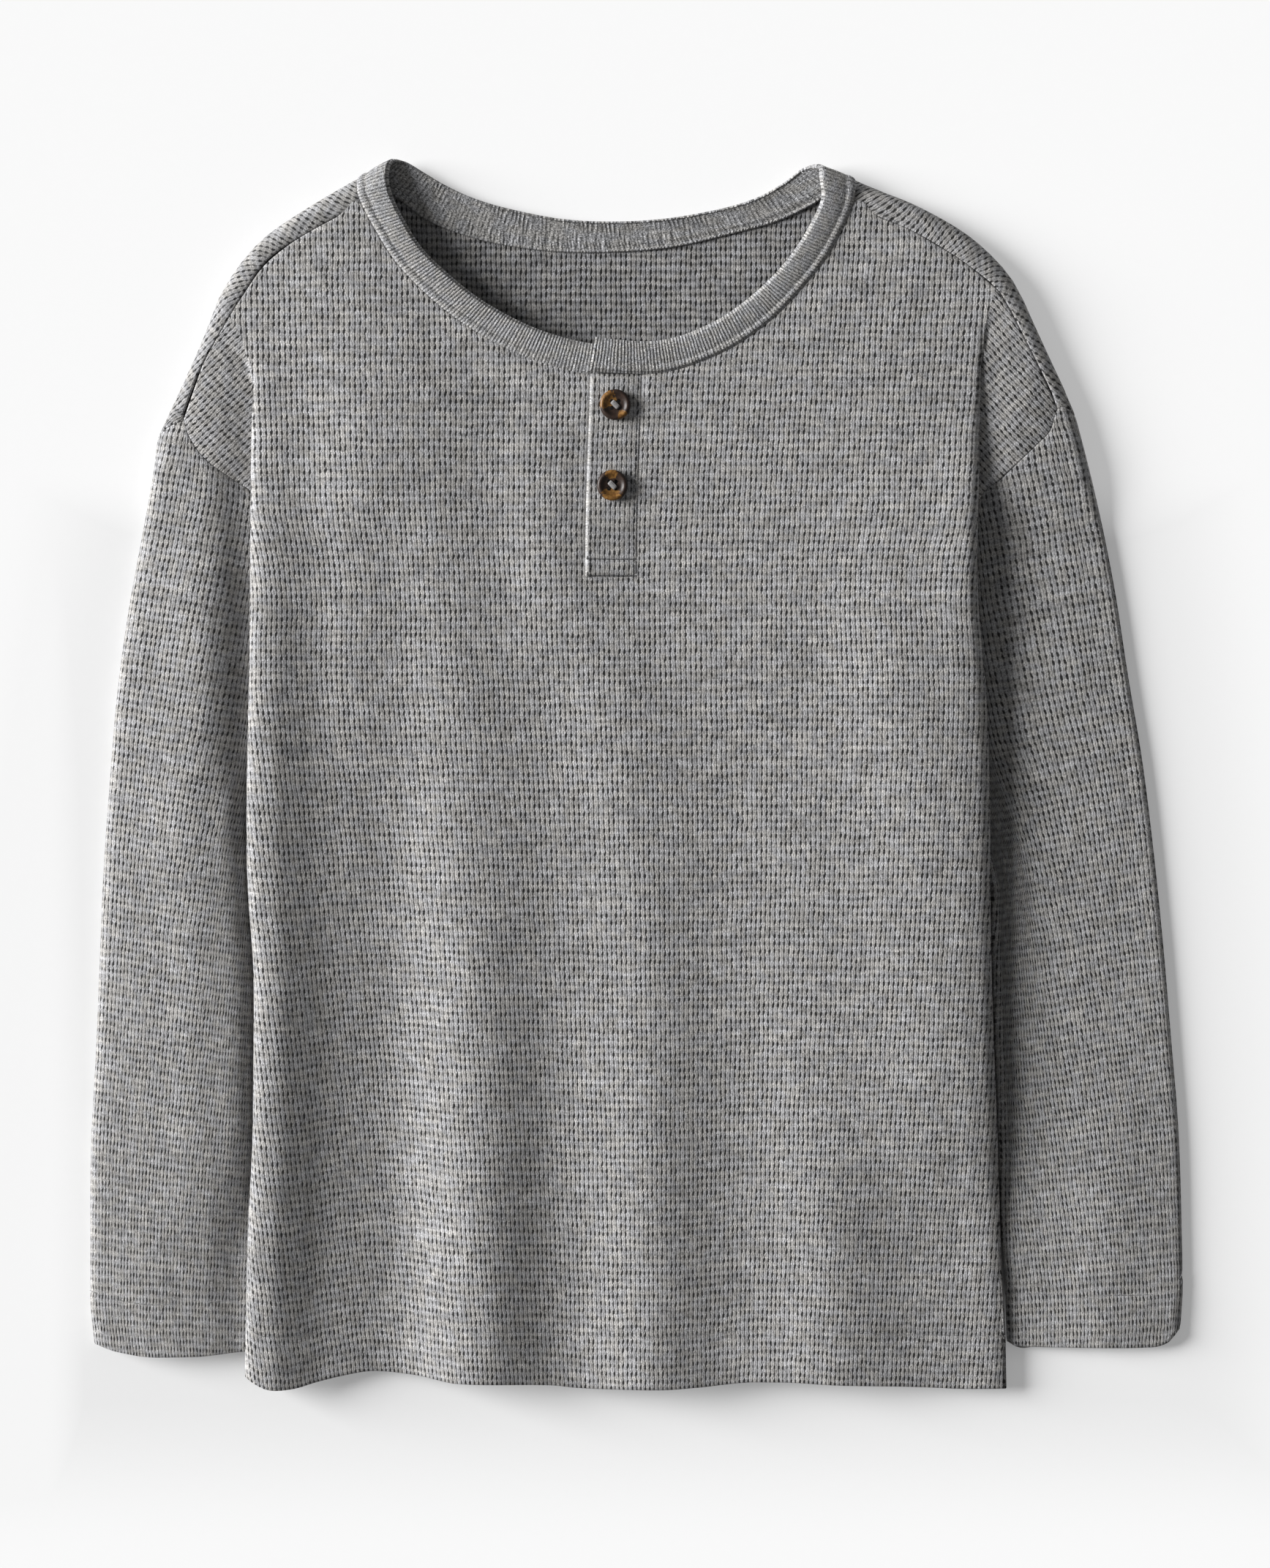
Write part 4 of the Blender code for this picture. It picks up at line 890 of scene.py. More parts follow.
def cloth_shell(name, grid, thickness, cloth_place, other_place=None, other=None, keep=None,
                around=False, flip=False, lift=None):
    """A closed wall with rolled edges.  cloth_place is where each point lies in the flat knit, in
    millimetres; cells marked in `other` take other_place instead."""
    quads, r, c = grid_quads(grid.shape[:2], keep, around)
    taken = other[r, c] if other is not None else np.zeros(len(quads), bool)
    points = grid.reshape(-1, 3)
    normals = point_normals(points, quads)
    used = np.unique(quads)
    number = np.full(len(points), -1)
    number[used] = np.arange(len(used))
    points, normals = points[used], unit_rows(normals[used])
    if flip:
        normals = -normals
    if lift is not None:
        points = points + normals * lift.reshape(-1)[used][:, None]
    local = number[quads]

    rim, rim_cell = open_edges(local, len(used))
    outward = rim_outward(points, normals, rim, flip)
    on_rim = np.unique(rim)
    rim_number = np.full(len(used), -1)
    rim_number[on_rim] = np.arange(len(on_rim))
    half = thickness / 2
    points[on_rim] -= outward[on_rim] * half * RIM_PULL
    layers = [points + normals * half]
    for turn in np.radians(RIM_ANGLES):
        layers.append(points[on_rim] + normals[on_rim] * half * math.cos(turn)
                      + outward[on_rim] * half * math.sin(turn))
    layers.append(points - normals * half)
    starts = np.cumsum([0] + [len(layer) for layer in layers])
    below = starts[-2]
    vertices = np.concatenate(layers) * MM
    vertices[:, 1] -= LENGTH / 2 * MM

    rim = rim[:, ::-1]
    ring = [rim] + [rim_number[rim] + start for start in starts[1:-2]] + [rim + below]
    bands = [np.concatenate([a, b[:, ::-1]], 1) for a, b in zip(ring, ring[1:])]
    faces = np.concatenate([local, local[:, ::-1] + below] + bands)

    own = cloth_place.reshape(-1, 2)[used]
    two = other_place.reshape(-1, 2)[used] if other_place is not None else own
    face_uv = np.where(taken[:, None, None], two[local], own[local])
    closing = c + 1 >= grid.shape[1]
    if closing.any():
        round_length = cloth_place[0, -1, 0] + np.linalg.norm(grid[0, 0] - grid[0, -1])
        face_uv[closing, 1:3, 0] += round_length
    rim_uv = np.where(taken[rim_cell][:, None, None], two[rim], own[rim])
    band_uv = np.concatenate([rim_uv, rim_uv[:, ::-1]], 1)
    coordinates = np.concatenate([face_uv, face_uv[:, ::-1]] + [band_uv] * len(bands))
    if flip:
        faces, coordinates = faces[:, ::-1], coordinates[:, ::-1]

    mesh = bpy.data.meshes.new(name)
    mesh.from_pydata(vertices.tolist(), [], faces.tolist())
    mesh.uv_layers.new(name="knit").data.foreach_set("uv", coordinates.reshape(-1))
    mesh.shade_smooth()
    mesh.update()
    return add_object(name, mesh)


def sheet_size(grid, keep=None, around=False):
    """Flat width, length and area of a grid, in metres."""
    if around:
        grid = np.concatenate([grid, grid[:, :1]], axis=1)
    a, b = grid[1:, 1:] - grid[:-1, :-1], grid[1:, :-1] - grid[:-1, 1:]
    area = np.linalg.norm(np.cross(a, b), axis=2) / 2
    if keep is not None:
        area = area[keep]
    across = np.percentile(run_across(grid)[:, -1], 90)
    along = np.percentile(run_across(grid.transpose(1, 0, 2))[:, -1], 90)
    area = float(area.sum()) * MM * MM
    width, length = float(across) * MM, float(along) * MM
    if area > width * length:
        width = area / length
    return (width, length), area


def declare(piece, node):
    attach(piece, "root")
    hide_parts(node)


# ---- Panels ----

def hem_lift(distance):
    """The turned hem is thicker, with a groove under each row of stitches."""
    doubled = HEM_RISE * (1 - ease((distance - HEM_DEPTH + 1.2) / 2.4))
    grooves = sum(STITCH_GROOVE * np.exp(-((distance - row) / 0.8) ** 2) for row in HEM_STITCH_ROWS)
    return doubled - grooves


def fan(up):
    """Spread of the wales, which stand closer at the hem than at the chest."""
    return 0.9 + 0.00055 * up


def turned_place(x, up, degrees):
    """Place in the flat knit of cloth that is laid at an angle."""
    turn = np.radians(degrees)
    return np.stack([x * np.cos(turn) + up * np.sin(turn),
                     -x * np.sin(turn) + up * np.cos(turn)], 2)


def make_front():
    coarse, slot_row, slot_column = front_grid()
    grid, row_marks, column_marks = finer_grid(coarse, FRONT_STEP)
    section = FOLD_ROUNDING * (FOLD_CORNERS - 2)
    low, high = column_marks[section - 1], column_marks[-section]
    x, up = grid[:, :, 0], grid[:, :, 1]
    on_top = np.ones_like(x)
    for side, columns in ((LEFT, slice(None, low)), (RIGHT, slice(high + 1, None))):
        side_up = up[:, columns]
        under = np.where(side_up < UNDERARM, under_fold_height(side, side_up), 7.5)
        rise = fold_top_height(side, side_up) - under
        on_top[:, columns] = ease((grid[:, columns, 2] - under) / np.maximum(rise, 1.2))
    grid[:, :, 2] += on_top * front_relief(x, up)

    slot_left, slot_right = column_marks[slot_column], column_marks[slot_column + 3]
    middle = (slot_left + slot_right) // 2
    run = run_across(grid)
    run, flat_run = run - run[:, middle:middle + 1], x - x[:, middle:middle + 1]
    u = (run + (flat_run - run) * ease((up - 300) / 50)) / fan(up[:, middle:middle + 1])
    v = up - hem_up(x) * np.clip(1 - up / UNDERARM, 0, 1)
    keep = np.ones((grid.shape[0] - 1, grid.shape[1] - 1), bool)
    keep[row_marks[slot_row]:, slot_left:slot_right] = False
    on_yoke = np.zeros_like(keep)
    start, inner = row_marks[len(LOWER_ROWS) - 1], FOLD_ROUNDING * 2
    on_yoke[start:, :column_marks[inner]] = True
    on_yoke[start:, column_marks[-inner - 1]:] = True
    yoke_place = turned_place(x, up, np.where(x < 0, YOKE_LEAN[LEFT], YOKE_LEAN[RIGHT]))
    piece = cloth_shell("front_cloth", grid, SHELL, np.stack([u, v], 2), yoke_place, on_yoke, keep,
                        lift=hem_lift(v))
    flat, area = sheet_size(grid, keep)
    return piece, flat, area, grid, v


def make_back():
    """The flat part on the ground and the roll over each shoulder, as one piece."""
    coarse, floor_count, tab = back_grid()
    low, _, column_marks = finer_grid(coarse[:floor_count], BACK_STEP)
    steps = np.diff(column_marks)
    parts = {LEFT: (coarse[floor_count - 1:, :tab + 1], steps[:tab]),
             RIGHT: (coarse[floor_count - 1:, -tab - 1:], steps[-tab:])}
    spans = {LEFT: (0, column_marks[tab]), RIGHT: (column_marks[-tab - 1], column_marks[-1])}
    rolls = {side: columns_as(finer(part, SHOULDER_ROLL_STEP)[0], chosen)
             for side, (part, chosen) in parts.items()}
    flat_rows = len(low)
    grid = np.zeros((flat_rows + len(rolls[LEFT]) - 1, low.shape[1], 3))
    grid[:flat_rows] = low
    keep = np.zeros((grid.shape[0] - 1, grid.shape[1] - 1), bool)
    keep[:flat_rows - 1] = True
    cloth_place = np.zeros(grid.shape[:2] + (2,))
    cloth_place[:flat_rows] = low[:, :, :2]
    for side, roll in rolls.items():
        first, last = spans[side]
        grid[flat_rows:, first:last + 1] = roll[1:]
        keep[flat_rows - 1:, first:last] = True
        runs = np.cumsum(np.linalg.norm(np.diff(roll, axis=0), axis=2), axis=0)
        way = unit_rows((roll[1] - roll[0])[:, :2])
        cloth_place[flat_rows:, first:last + 1] = roll[0][:, :2] + way[None] * runs[:, :, None]
    piece = cloth_shell("back_cloth", grid, SHELL, cloth_place, keep=keep)
    (width, length), area = sheet_size(low)
    area += sum(sheet_size(roll)[1] for roll in rolls.values())
    length += SHOULDER_ROLL_RUN * MM
    return piece, (max(width, area / length), length), area


def settle_sleeve(side, grid):
    """Move a sleeve's upper layer from its solid's even height to its laid one."""
    x, up, height = grid[:, :, 0], grid[:, :, 1], grid[:, :, 2]
    out, fold = side * x, fold_edge[side](up)
    beside, below_armhole = out - fold, armhole_front[side](0.3) - up
    on_top = ease((height - FLOOR_LAYER - sleeve_roll(up)) / sleeve_roll(up))
    fade = ease((below_armhole - 8) / 50) * ease((beside + 14) / 16)
    if side == RIGHT:
        settled = ease((height - 2.2) / 1.4) * ease((below_armhole - 4) / 34)
        laid = smooth(LOW_SLEEVE)(beside) - 0.5 * (1 - ease(up / 170))
        laid = np.maximum(laid, LOWEST_SLEEVE)
    else:
        settled = ease((height - 3) / 1.6) * ease((40 - beside) / 14) * ease((beside + 3) / 3)
        settled = settled * ease((up - 50) / 60) * ease((262 - up) / 40)
        laid = smooth(FULL_SLEEVE)(beside)
    height = height + settled * (laid - height)
    grid[:, :, 2] = height + on_top * fade * ridge_height(SLEEVE_RIDGES[side], x, up)
    seam = sleeve_inner[side](up)
    apart = np.clip(seam - fold - 0.8, 0, 5)
    grid[:, :, 0] = x - side * apart * ease((seam + 16 - out) / 16)
    return out, up


def make_sleeve(side):
    grid, _, _ = finer_grid(sleeve_grid(side), SLEEVE_STEP, around=True)
    out, up = settle_sleeve(side, grid)
    run = run_across(grid)
    around_length = run[:, -1:] + np.linalg.norm(grid[:, :1] - grid[:, -1:], axis=2)
    u = run * (around_length.mean() / around_length) * SLEEVE_WALES[side]
    v = up - (0.05 + 0.13 * ease(up / 140)) * (out - SLEEVE_MIDDLE)
    grid[:, :, 2] = np.maximum(grid[:, :, 2], FLOOR_LAYER)
    from_cuff = up - grid[0][None, :, 1]
    lift = hem_lift(from_cuff) * ease((grid[:, :, 2] - 1.2) / 1.2)
    piece = cloth_shell(SLEEVE_NAMES[side] + "_cloth", grid, SHELL, np.stack([u, v], 2),
                        around=True, flip=side == RIGHT, lift=lift)
    flat, area = sheet_size(grid, around=True)
    return piece, flat, area, grid


def make_neckband():
    """The band with its ribs as real ridges across it, wide ones where its inside shows."""
    places = np.linspace(0, len(NECKBAND) - 1, 361)
    lines = np.array([np.concatenate(neck_section(place)) for place in places])
    middle = (lines[:, :3] + lines[:, 3:]) / 2
    run = np.concatenate([[0], np.cumsum(np.linalg.norm(np.diff(middle, axis=0), axis=1))])
    stations = np.linspace(0, run[-1], int(run[-1] / BAND_STATION) + 1)
    lines = np.stack([np.interp(stations, run, lines[:, k]) for k in range(6)], 1)
    at_section = np.interp(stations, run, places)
    inside = (ease((at_section - BAND_INSIDE[0]) / BAND_INSIDE_FADE)
              * ease((BAND_INSIDE[1] - at_section) / BAND_INSIDE_FADE))
    pitch = FRONT_RIB[0] + (BACK_RIB[0] - FRONT_RIB[0]) * inside
    pitch = pitch * (1 + 0.1 * np.sin(stations * 0.83) * np.sin(stations * 0.31 + 2))
    ribs = np.concatenate([[0], np.cumsum(np.diff(stations) / ((pitch[1:] + pitch[:-1]) / 2))])
    seam, free = lines[:, :3], lines[:, 3:]
    shares, rise = np.array(BAND_PROFILE).T
    grid = seam[:, None] + (free - seam)[:, None] * shares[None, :, None]

    inside, along = inside[:, None], stations[:, None]
    wander = 0.12 * np.sin(shares * 9 + along * 0.7)
    rib = np.abs(np.sin(np.pi * (ribs[:, None] + wander))) ** 0.7
    tall = FRONT_RIB[1] + (BACK_RIB[1] - FRONT_RIB[1]) * inside
    uneven = 1 + 0.35 * np.sin(np.floor(ribs)[:, None] * 12.9 + shares[None] * 5)
    ribbed = ease((shares[None] - (0.2 + 0.26 * inside)) / 0.15)
    zigzag = np.abs(np.sin(np.pi * (along / 1.25 + 2.6 * shares[None]))) * 0.15 * inside
    lumps = 0.08 * np.sin(along * 2.1) * np.sin(along * 0.57) + 0.05 * np.sin(along * 1.27 + 1)
    lift = (rise[None] * (1 - 0.5 * inside) + tall * uneven * (rib - 0.6) * (0.4 + 0.6 * ribbed)
            + (zigzag + lumps) * (1 - ribbed))
    cloth_place = np.stack([np.broadcast_to(ribs[:, None], lift.shape),
                            np.broadcast_to(shares[None] * BAND_WIDTH, lift.shape)], 2)
    piece = cloth_shell("neckband_rib", grid, BAND_CLOTH, cloth_place, lift=lift)
    flat, area = sheet_size(grid)
    return piece, flat, area, grid


def placket_strip(node, foot, head, half_width, lift):
    """A folded strip that follows the front along the slot.  The overlap is sewn down flush at
    its right edge and foot."""
    ups = np.concatenate([np.linspace(foot, foot + 9, 30), np.linspace(foot + 10, head, 50)])
    shares = np.concatenate([[0, 0.02, 0.045, 0.075, 0.11], np.linspace(0.16, 0.88, 10),
                             [0.93, 0.97, 1]])
    share, up = np.meshgrid(shares, ups)
    middle = centre_front(up)
    x = middle - half_width + share * 2 * half_width
    z = chest(x, up) + front_relief(x, up) + lift
    if node == "placket_overlap":
        sunk = np.maximum(ease((share - 0.72) / 0.28), ease((foot + 2 - up) / 2))
        fold = 0.06 * np.exp(-((share - 0.06) / 0.03) ** 2)
        box = sum(np.exp(-((up - foot - row) / 0.6) ** 2) for row in (0.9, PLACKET_BOX))
        z = (z - STRIP_SETTLED - STRIP_SUNK * sunk + (1 - sunk) * fold
             - 0.4 * box * ease(share / 0.1))
    grid = np.stack([x, up, z], 2)
    inside = x - middle + half_width
    rounded_edge = 0.7 + 0.35 * np.minimum(inside, 1.2) + np.maximum(inside - 1.2, 0)
    piece = cloth_shell(node + "_cloth", grid, STRIP_SHELL, np.stack([rounded_edge, up + 0.9], 2))
    flat, area = sheet_size(grid)
    declare(piece, node)
    return piece, grid


# ---- Thread ----

def tube_faces(start, sides, rings):
    """Faces round a tube of rings, in the order that its points were made."""
    faces = []
    for ring in range(rings - 1):
        for k in range(sides):
            a = start + ring * sides + k
            b = start + ring * sides + (k + 1) % sides
            faces.append((a, b, b + sides, a + sides))
    return faces


def thread_stitch():
    """One short stitch of thread, as long and as thick as 1."""
    profile = ((-0.5, 0.0), (-0.44, 0.75), (-0.3, 1.0), (0.3, 1.0), (0.44, 0.75), (0.5, 0.0))
    sides = 6
    vertices = []
    for along, width in profile:
        for k in range(sides):
            angle = 2 * math.pi * k / sides
            vertices.append((along, width / 2 * math.cos(angle), width / 2 * math.sin(angle)))
    mesh = bpy.data.meshes.new("thread_stitch")
    faces = [(a, d, c, b) for a, b, c, d in tube_faces(0, sides, len(profile))]
    mesh.from_pydata(vertices, [], faces)
    mesh.shade_smooth()
    return add_object("thread_stitch", mesh)


def stitch_tree(stitch, material):
    """Repeat a stitch along every line of the mesh."""
    tree = bpy.data.node_groups.new("stitches_along_seam", "GeometryNodeTree")
    face = tree.interface
    face.new_socket("Geometry", in_out="INPUT", socket_type="NodeSocketGeometry")
    sizes = (("Stitch pitch", 0.0028), ("Stitch length", 0.0024), ("Thread thickness", 0.0004))
    for name, value in sizes:
        socket = face.new_socket(name, in_out="INPUT", socket_type="NodeSocketFloat")
        socket.default_value = value
    face.new_socket("Geometry", in_out="OUTPUT", socket_type="NodeSocketGeometry")
    new = tree.nodes.new
    entry, leave = new("NodeGroupInput").outputs, new("NodeGroupOutput").inputs
    curve, spaced = new("GeometryNodeMeshToCurve"), new("GeometryNodeResampleCurve")
    spaced.mode = "LENGTH"
    tangent, turn = new("GeometryNodeInputTangent"), new("FunctionNodeAlignRotationToVector")
    turn.axis = "X"
    source = new("GeometryNodeObjectInfo")
    source.inputs["Object"].default_value = stitch
    size, spread = new("ShaderNodeCombineXYZ"), new("GeometryNodeInstanceOnPoints")
    real, paint = new("GeometryNodeRealizeInstances"), new("GeometryNodeSetMaterial")
    paint.inputs["Material"].default_value = material
    for output, given in (
            (entry["Geometry"], curve.inputs["Mesh"]),
            (curve.outputs["Curve"], spaced.inputs["Curve"]),
            (entry["Stitch pitch"], spaced.inputs["Length"]),
            (tangent.outputs["Tangent"], turn.inputs["Vector"]),
            (entry["Stitch length"], size.inputs["X"]),
            (entry["Thread thickness"], size.inputs["Y"]),
            (entry["Thread thickness"], size.inputs["Z"]),
            (spaced.outputs["Curve"], spread.inputs["Points"]),
            (source.outputs["Geometry"], spread.inputs["Instance"]),
            (turn.outputs["Rotation"], spread.inputs["Rotation"]),
            (size.outputs["Vector"], spread.inputs["Scale"]),
            (spread.outputs["Instances"], real.inputs["Geometry"]),
            (real.outputs["Geometry"], paint.inputs["Geometry"]),
            (paint.outputs["Geometry"], leave["Geometry"])):
        tree.links.new(output, given)
    return tree


def sew(name, seams, tree, stitch_size):
    """Stitches along a set of lines of points, as one plain mesh."""
    vertices, edges = [], []
    for line in seams:
        start = len(vertices)
        vertices += [place(*point) for point in line]
        edges += [(start + k, start + k + 1) for k in range(len(line) - 1)]
    mesh = bpy.data.meshes.new(name + "_line")
    mesh.from_pydata(vertices, edges, [])
    guide = add_object(name + "_line", mesh)
    modifier = guide.modifiers.new("stitches", "NODES")
    modifier.node_group = tree
    values = dict(zip(("Stitch pitch", "Stitch length", "Thread thickness"), stitch_size))
    for socket in tree.interface.items_tree:
        if socket.in_out == "INPUT" and socket.name in values:
            modifier[socket.identifier] = values[socket.name] * MM
    sewn = finished_mesh(guide)
    guide.modifiers.remove(modifier)
    bpy.data.objects.remove(guide)
    sewn.shade_smooth()
    thread = add_object(name, sewn)
    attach(thread, "root")


def finished_mesh(piece):
    """A plain mesh of an object with its modifiers."""
    bpy.context.view_layer.update()
    shown = piece.evaluated_get(bpy.context.evaluated_depsgraph_get())
    return bpy.data.meshes.new_from_object(shown)


def line_on_grid(grid, cloth_v, level, above):
    """Points where a grid crosses a level of cloth_v, raised along the normal."""
    normals = grid_normals(grid)
    points = []
    for column in range(grid.shape[1]):
        heights = cloth_v[:, column]
        row = int(np.searchsorted(heights[:HEM_POINTS], level)) - 1
        if row < 0:
            continue
        t = (level - heights[row]) / (heights[row + 1] - heights[row])
        spot = grid[row, column] * (1 - t) + grid[row + 1, column] * t
        normal = normals[row, column]
        points.append(spot + normal * above * (1 if normal[2] > 0 else -1))
    return points


# ---- Materials ----

class Recipe:
    """Short way to place and join shader nodes."""

    def __init__(self, tree):
        self.tree = tree

    def node(self, kind, **inputs):
        made = self.tree.nodes.new(kind)
        for name, value in inputs.items():
            self.feed(made.inputs[name.replace("_", " ")], value)
        return made

    def feed(self, socket, value):
        if isinstance(value, bpy.types.NodeSocket):
            self.tree.links.new(value, socket)
        elif value is not None:
            socket.default_value = value

    def math(self, operation, *values):
        made = self.tree.nodes.new("ShaderNodeMath")
        made.operation = operation
        for socket, value in zip(made.inputs, values):
            self.feed(socket, value)
        return made.outputs[0]

    def add(self, *values):
        total = values[0]
        for value in values[1:]:
            total = self.math("ADD", total, value)
        return total

    def times(self, *values):
        total = values[0]
        for value in values[1:]:
            total = self.math("MULTIPLY", total, value)
        return total

    def largest(self, *values):
        most = values[0]
        for value in values[1:]:
            most = self.math("MAXIMUM", most, value)
        return most

    def scaled(self, value, gain, start):
        return self.math("MULTIPLY_ADD", value, gain, start)

    def centred(self, value):
        return self.math("SUBTRACT", value, 0.5)

    def nearest(self, value):
        return self.math("FLOOR", self.math("ADD", value, 0.5))

    def past_nearest(self, value):
        """Signed distance past the nearest whole number."""
        return self.centred(self.math("FRACT", self.math("ADD", value, 0.5)))

    def between(self, value, low, high, first=0.0, last=1.0, shape="SMOOTHSTEP"):
        made = self.tree.nodes.new("ShaderNodeMapRange")
        made.interpolation_type = shape
        for socket, number in zip(made.inputs, (value, low, high, first, last)):
            self.feed(socket, number)
        return made.outputs[0]

    def point(self, x, y, z=0.0):
        return self.node("ShaderNodeCombineXYZ", X=x, Y=y, Z=z).outputs[0]

    def parts(self, vector):
        return self.node("ShaderNodeSeparateXYZ", Vector=vector).outputs[:2]

    def noise(self, vector, scale, detail=2.0):
        made = self.node("ShaderNodeTexNoise", Vector=vector, Scale=scale, Detail=detail)
        made.noise_dimensions = "2D"
        return made.outputs[0]

    def solid_noise(self, vector, scale, detail, distortion=0.0):
        return self.node("ShaderNodeTexNoise", Vector=vector, Scale=scale, Detail=detail,
                         Distortion=distortion).outputs[0]

    def chance(self, x, y):
        made = self.node("ShaderNodeTexWhiteNoise", Vector=self.point(x, y))
        made.noise_dimensions = "2D"
        return made.outputs[0]

    def blend(self, share, first, second, way="MIX"):
        made = self.tree.nodes.new("ShaderNodeMix")
        made.data_type = "RGBA"
        made.blend_type = way
        self.feed(made.inputs[0], share)
        self.feed(made.inputs[6], first)
        self.feed(made.inputs[7], second)
        return made.outputs[2]

    def grey(self, shade):
        return self.node("ShaderNodeCombineColor", Red=shade, Green=shade, Blue=shade).outputs[0]

    def shaded(self, colour, shade):
        return self.blend(1.0, colour, self.grey(shade), "MULTIPLY")

    def emboss(self, shader, height, distance, strength=1.0):
        relief = self.node("ShaderNodeBump", Height=height)
        relief.inputs["Strength"].default_value = strength
        relief.inputs["Distance"].default_value = distance * MM
        self.feed(shader.inputs["Normal"], relief.outputs[0])


def effect(name, inputs, outputs):
    """An empty shader node group with named sockets."""
    tree = bpy.data.node_groups.new(name, "ShaderNodeTree")
    for socket_name, kind, value in inputs:
        socket = tree.interface.new_socket(socket_name, in_out="INPUT",
                                           socket_type="NodeSocket" + kind)
        if value is not None:
            socket.default_value = value
    for socket_name, kind in outputs:
        tree.interface.new_socket(socket_name, in_out="OUTPUT", socket_type="NodeSocket" + kind)
    given = tree.nodes.new("NodeGroupInput").outputs
    return Recipe(tree), given, tree.nodes.new("NodeGroupOutput").inputs


def waffle_effect():
    """Height, holes and tone of mini-waffle knit on a place in the flat cloth, in millimetres. The
    tone holds painted shade: darker in the holes, along the rows and between the two strands of
    each wale.
    """
    r, given, out = effect(
        "waffle_knit",
        (("Knit place", "Vector", None), ("Wale pitch", "Float", 1.95),
         ("Course pitch", "Float", 3.05), ("Hole length", "Float", 0.7),
         ("Row depth", "Float", 0.3), ("Unevenness", "Float", 1.0)),
        (("Height", "Float"), ("Tone and painted shade", "Float")))
    spot, uneven = given["Knit place"], given["Unevenness"]
    u, v = r.parts(spot)
    drift, jitter = r.centred(r.noise(spot, 0.07, 1.0)), r.centred(r.noise(spot, 0.7, 1.0))
    shift = r.add(r.times(drift, 0.8), r.times(jitter, 0.55, uneven))
    wale = r.math("DIVIDE", r.add(u, shift), given["Wale pitch"])
    sag = r.centred(r.noise(r.point(r.times(u, 0.11), r.times(v, 0.09), 3.0), 1.0, 1.0))
    tilt = r.centred(r.noise(r.point(r.times(u, 0.8), r.times(v, 0.2), 6.0), 1.0, 1.0))
    course = r.math("DIVIDE", r.add(v, r.times(sag, 1.6), r.times(tilt, 0.9, uneven)),
                    given["Course pitch"])
    off_row = r.past_nearest(course)
    from_row = r.math("ABSOLUTE", off_row)
    luck = r.chance(r.math("ADD", r.nearest(wale), 31.7), r.nearest(course))
    lean = r.times(off_row, r.scaled(luck, -0.3, 0.1))
    from_boundary = r.math("ABSOLUTE", r.past_nearest(r.math("ADD", wale, lean)))
    cell = r.chance(r.math("FLOOR", wale), r.math("FLOOR", course))
    reach = r.math("MULTIPLY", given["Hole length"], 0.5)
    open_part = r.between(from_row, r.math("ADD", reach, 0.1), r.math("SUBTRACT", reach, 0.1))
    narrow = r.times(from_boundary, r.scaled(open_part, -2.4, 7.4))
    valley = r.math("EXPONENT", r.times(narrow, narrow, -1.0))
    hole = r.times(valley, r.scaled(open_part, 0.52, 0.48), r.scaled(luck, 0.8, 0.6))
    hole = r.math("MINIMUM", hole, 1.0)
    row = r.between(from_row, 0.24, 0.0)
    middle = r.between(from_boundary, 0.4, 0.5)
    fibre = r.centred(r.noise(r.point(r.times(u, 4.4), r.times(v, 1.7)), 1.0, 2.0))
    height = r.add(r.math("SUBTRACT", 1.0, hole), r.times(row, given["Row depth"], -0.7),
                   r.times(middle, -0.2), r.times(fibre, 0.45), r.times(cell, 0.16))
    # Painted shade: the holes, the rows and the line between a wale's two strands are darker; cell
    # and fibre are the yarn's own tone.
    tone = r.times(r.scaled(hole, -0.93, 1.0),
                   r.math("SUBTRACT", 1.0, r.times(row, given["Row depth"])),
                   r.scaled(middle, -0.28, 1.0), r.scaled(cell, 0.3, 0.85),
                   r.scaled(fibre, 2.1, 1.0))
    r.feed(out["Height"], height)
    r.feed(out["Tone and painted shade"], tone)
    return r.tree


def heather_effect():
    """Mixed light and dark fibres that lie in streaks along the courses."""
    r, given, out = effect(
        "heather_yarn",
        (("Knit place", "Vector", None), ("Colour", "Color", (0.5, 0.5, 0.5, 1)),
         ("Streaks", "Float", 0.5)),
        (("Colour", "Color"),))
    u, v = r.parts(given["Knit place"])
    course = r.math("FLOOR", r.math("DIVIDE", v, 1.02))
    streak = r.noise(r.point(r.times(u, 0.14), r.times(course, 3.7)), 1.0, 2.0)
    band = r.noise(r.point(r.times(u, 0.035), r.times(v, 0.16), 5.0), 1.0, 2.0)
    patch = r.noise(r.point(r.times(u, 0.03), r.times(v, 0.035), 9.0), 1.0, 2.0)
    fleck = r.noise(r.point(r.times(u, 1.1), r.times(v, 2.6)), 1.0, 2.0)
    tone = r.add(1.0, r.times(r.centred(streak), given["Streaks"], 0.9),
                 r.times(r.centred(band), given["Streaks"], 0.5),
                 r.times(r.centred(patch), 0.15), r.times(r.centred(fleck), 0.55))
    tint = r.noise(r.point(r.times(u, 0.16), r.times(v, 0.2), 2.0), 1.0, 1.0)
    cool, warm = (0.985, 0.99, 1.01, 1), (1.02, 1.0, 0.965, 1)
    tinted = r.blend(1.0, given["Colour"], r.blend(r.between(tint, 0.35, 0.65), cool, warm),
                     "MULTIPLY")
    r.feed(out["Colour"], r.shaded(tinted, tone))
    return r.tree


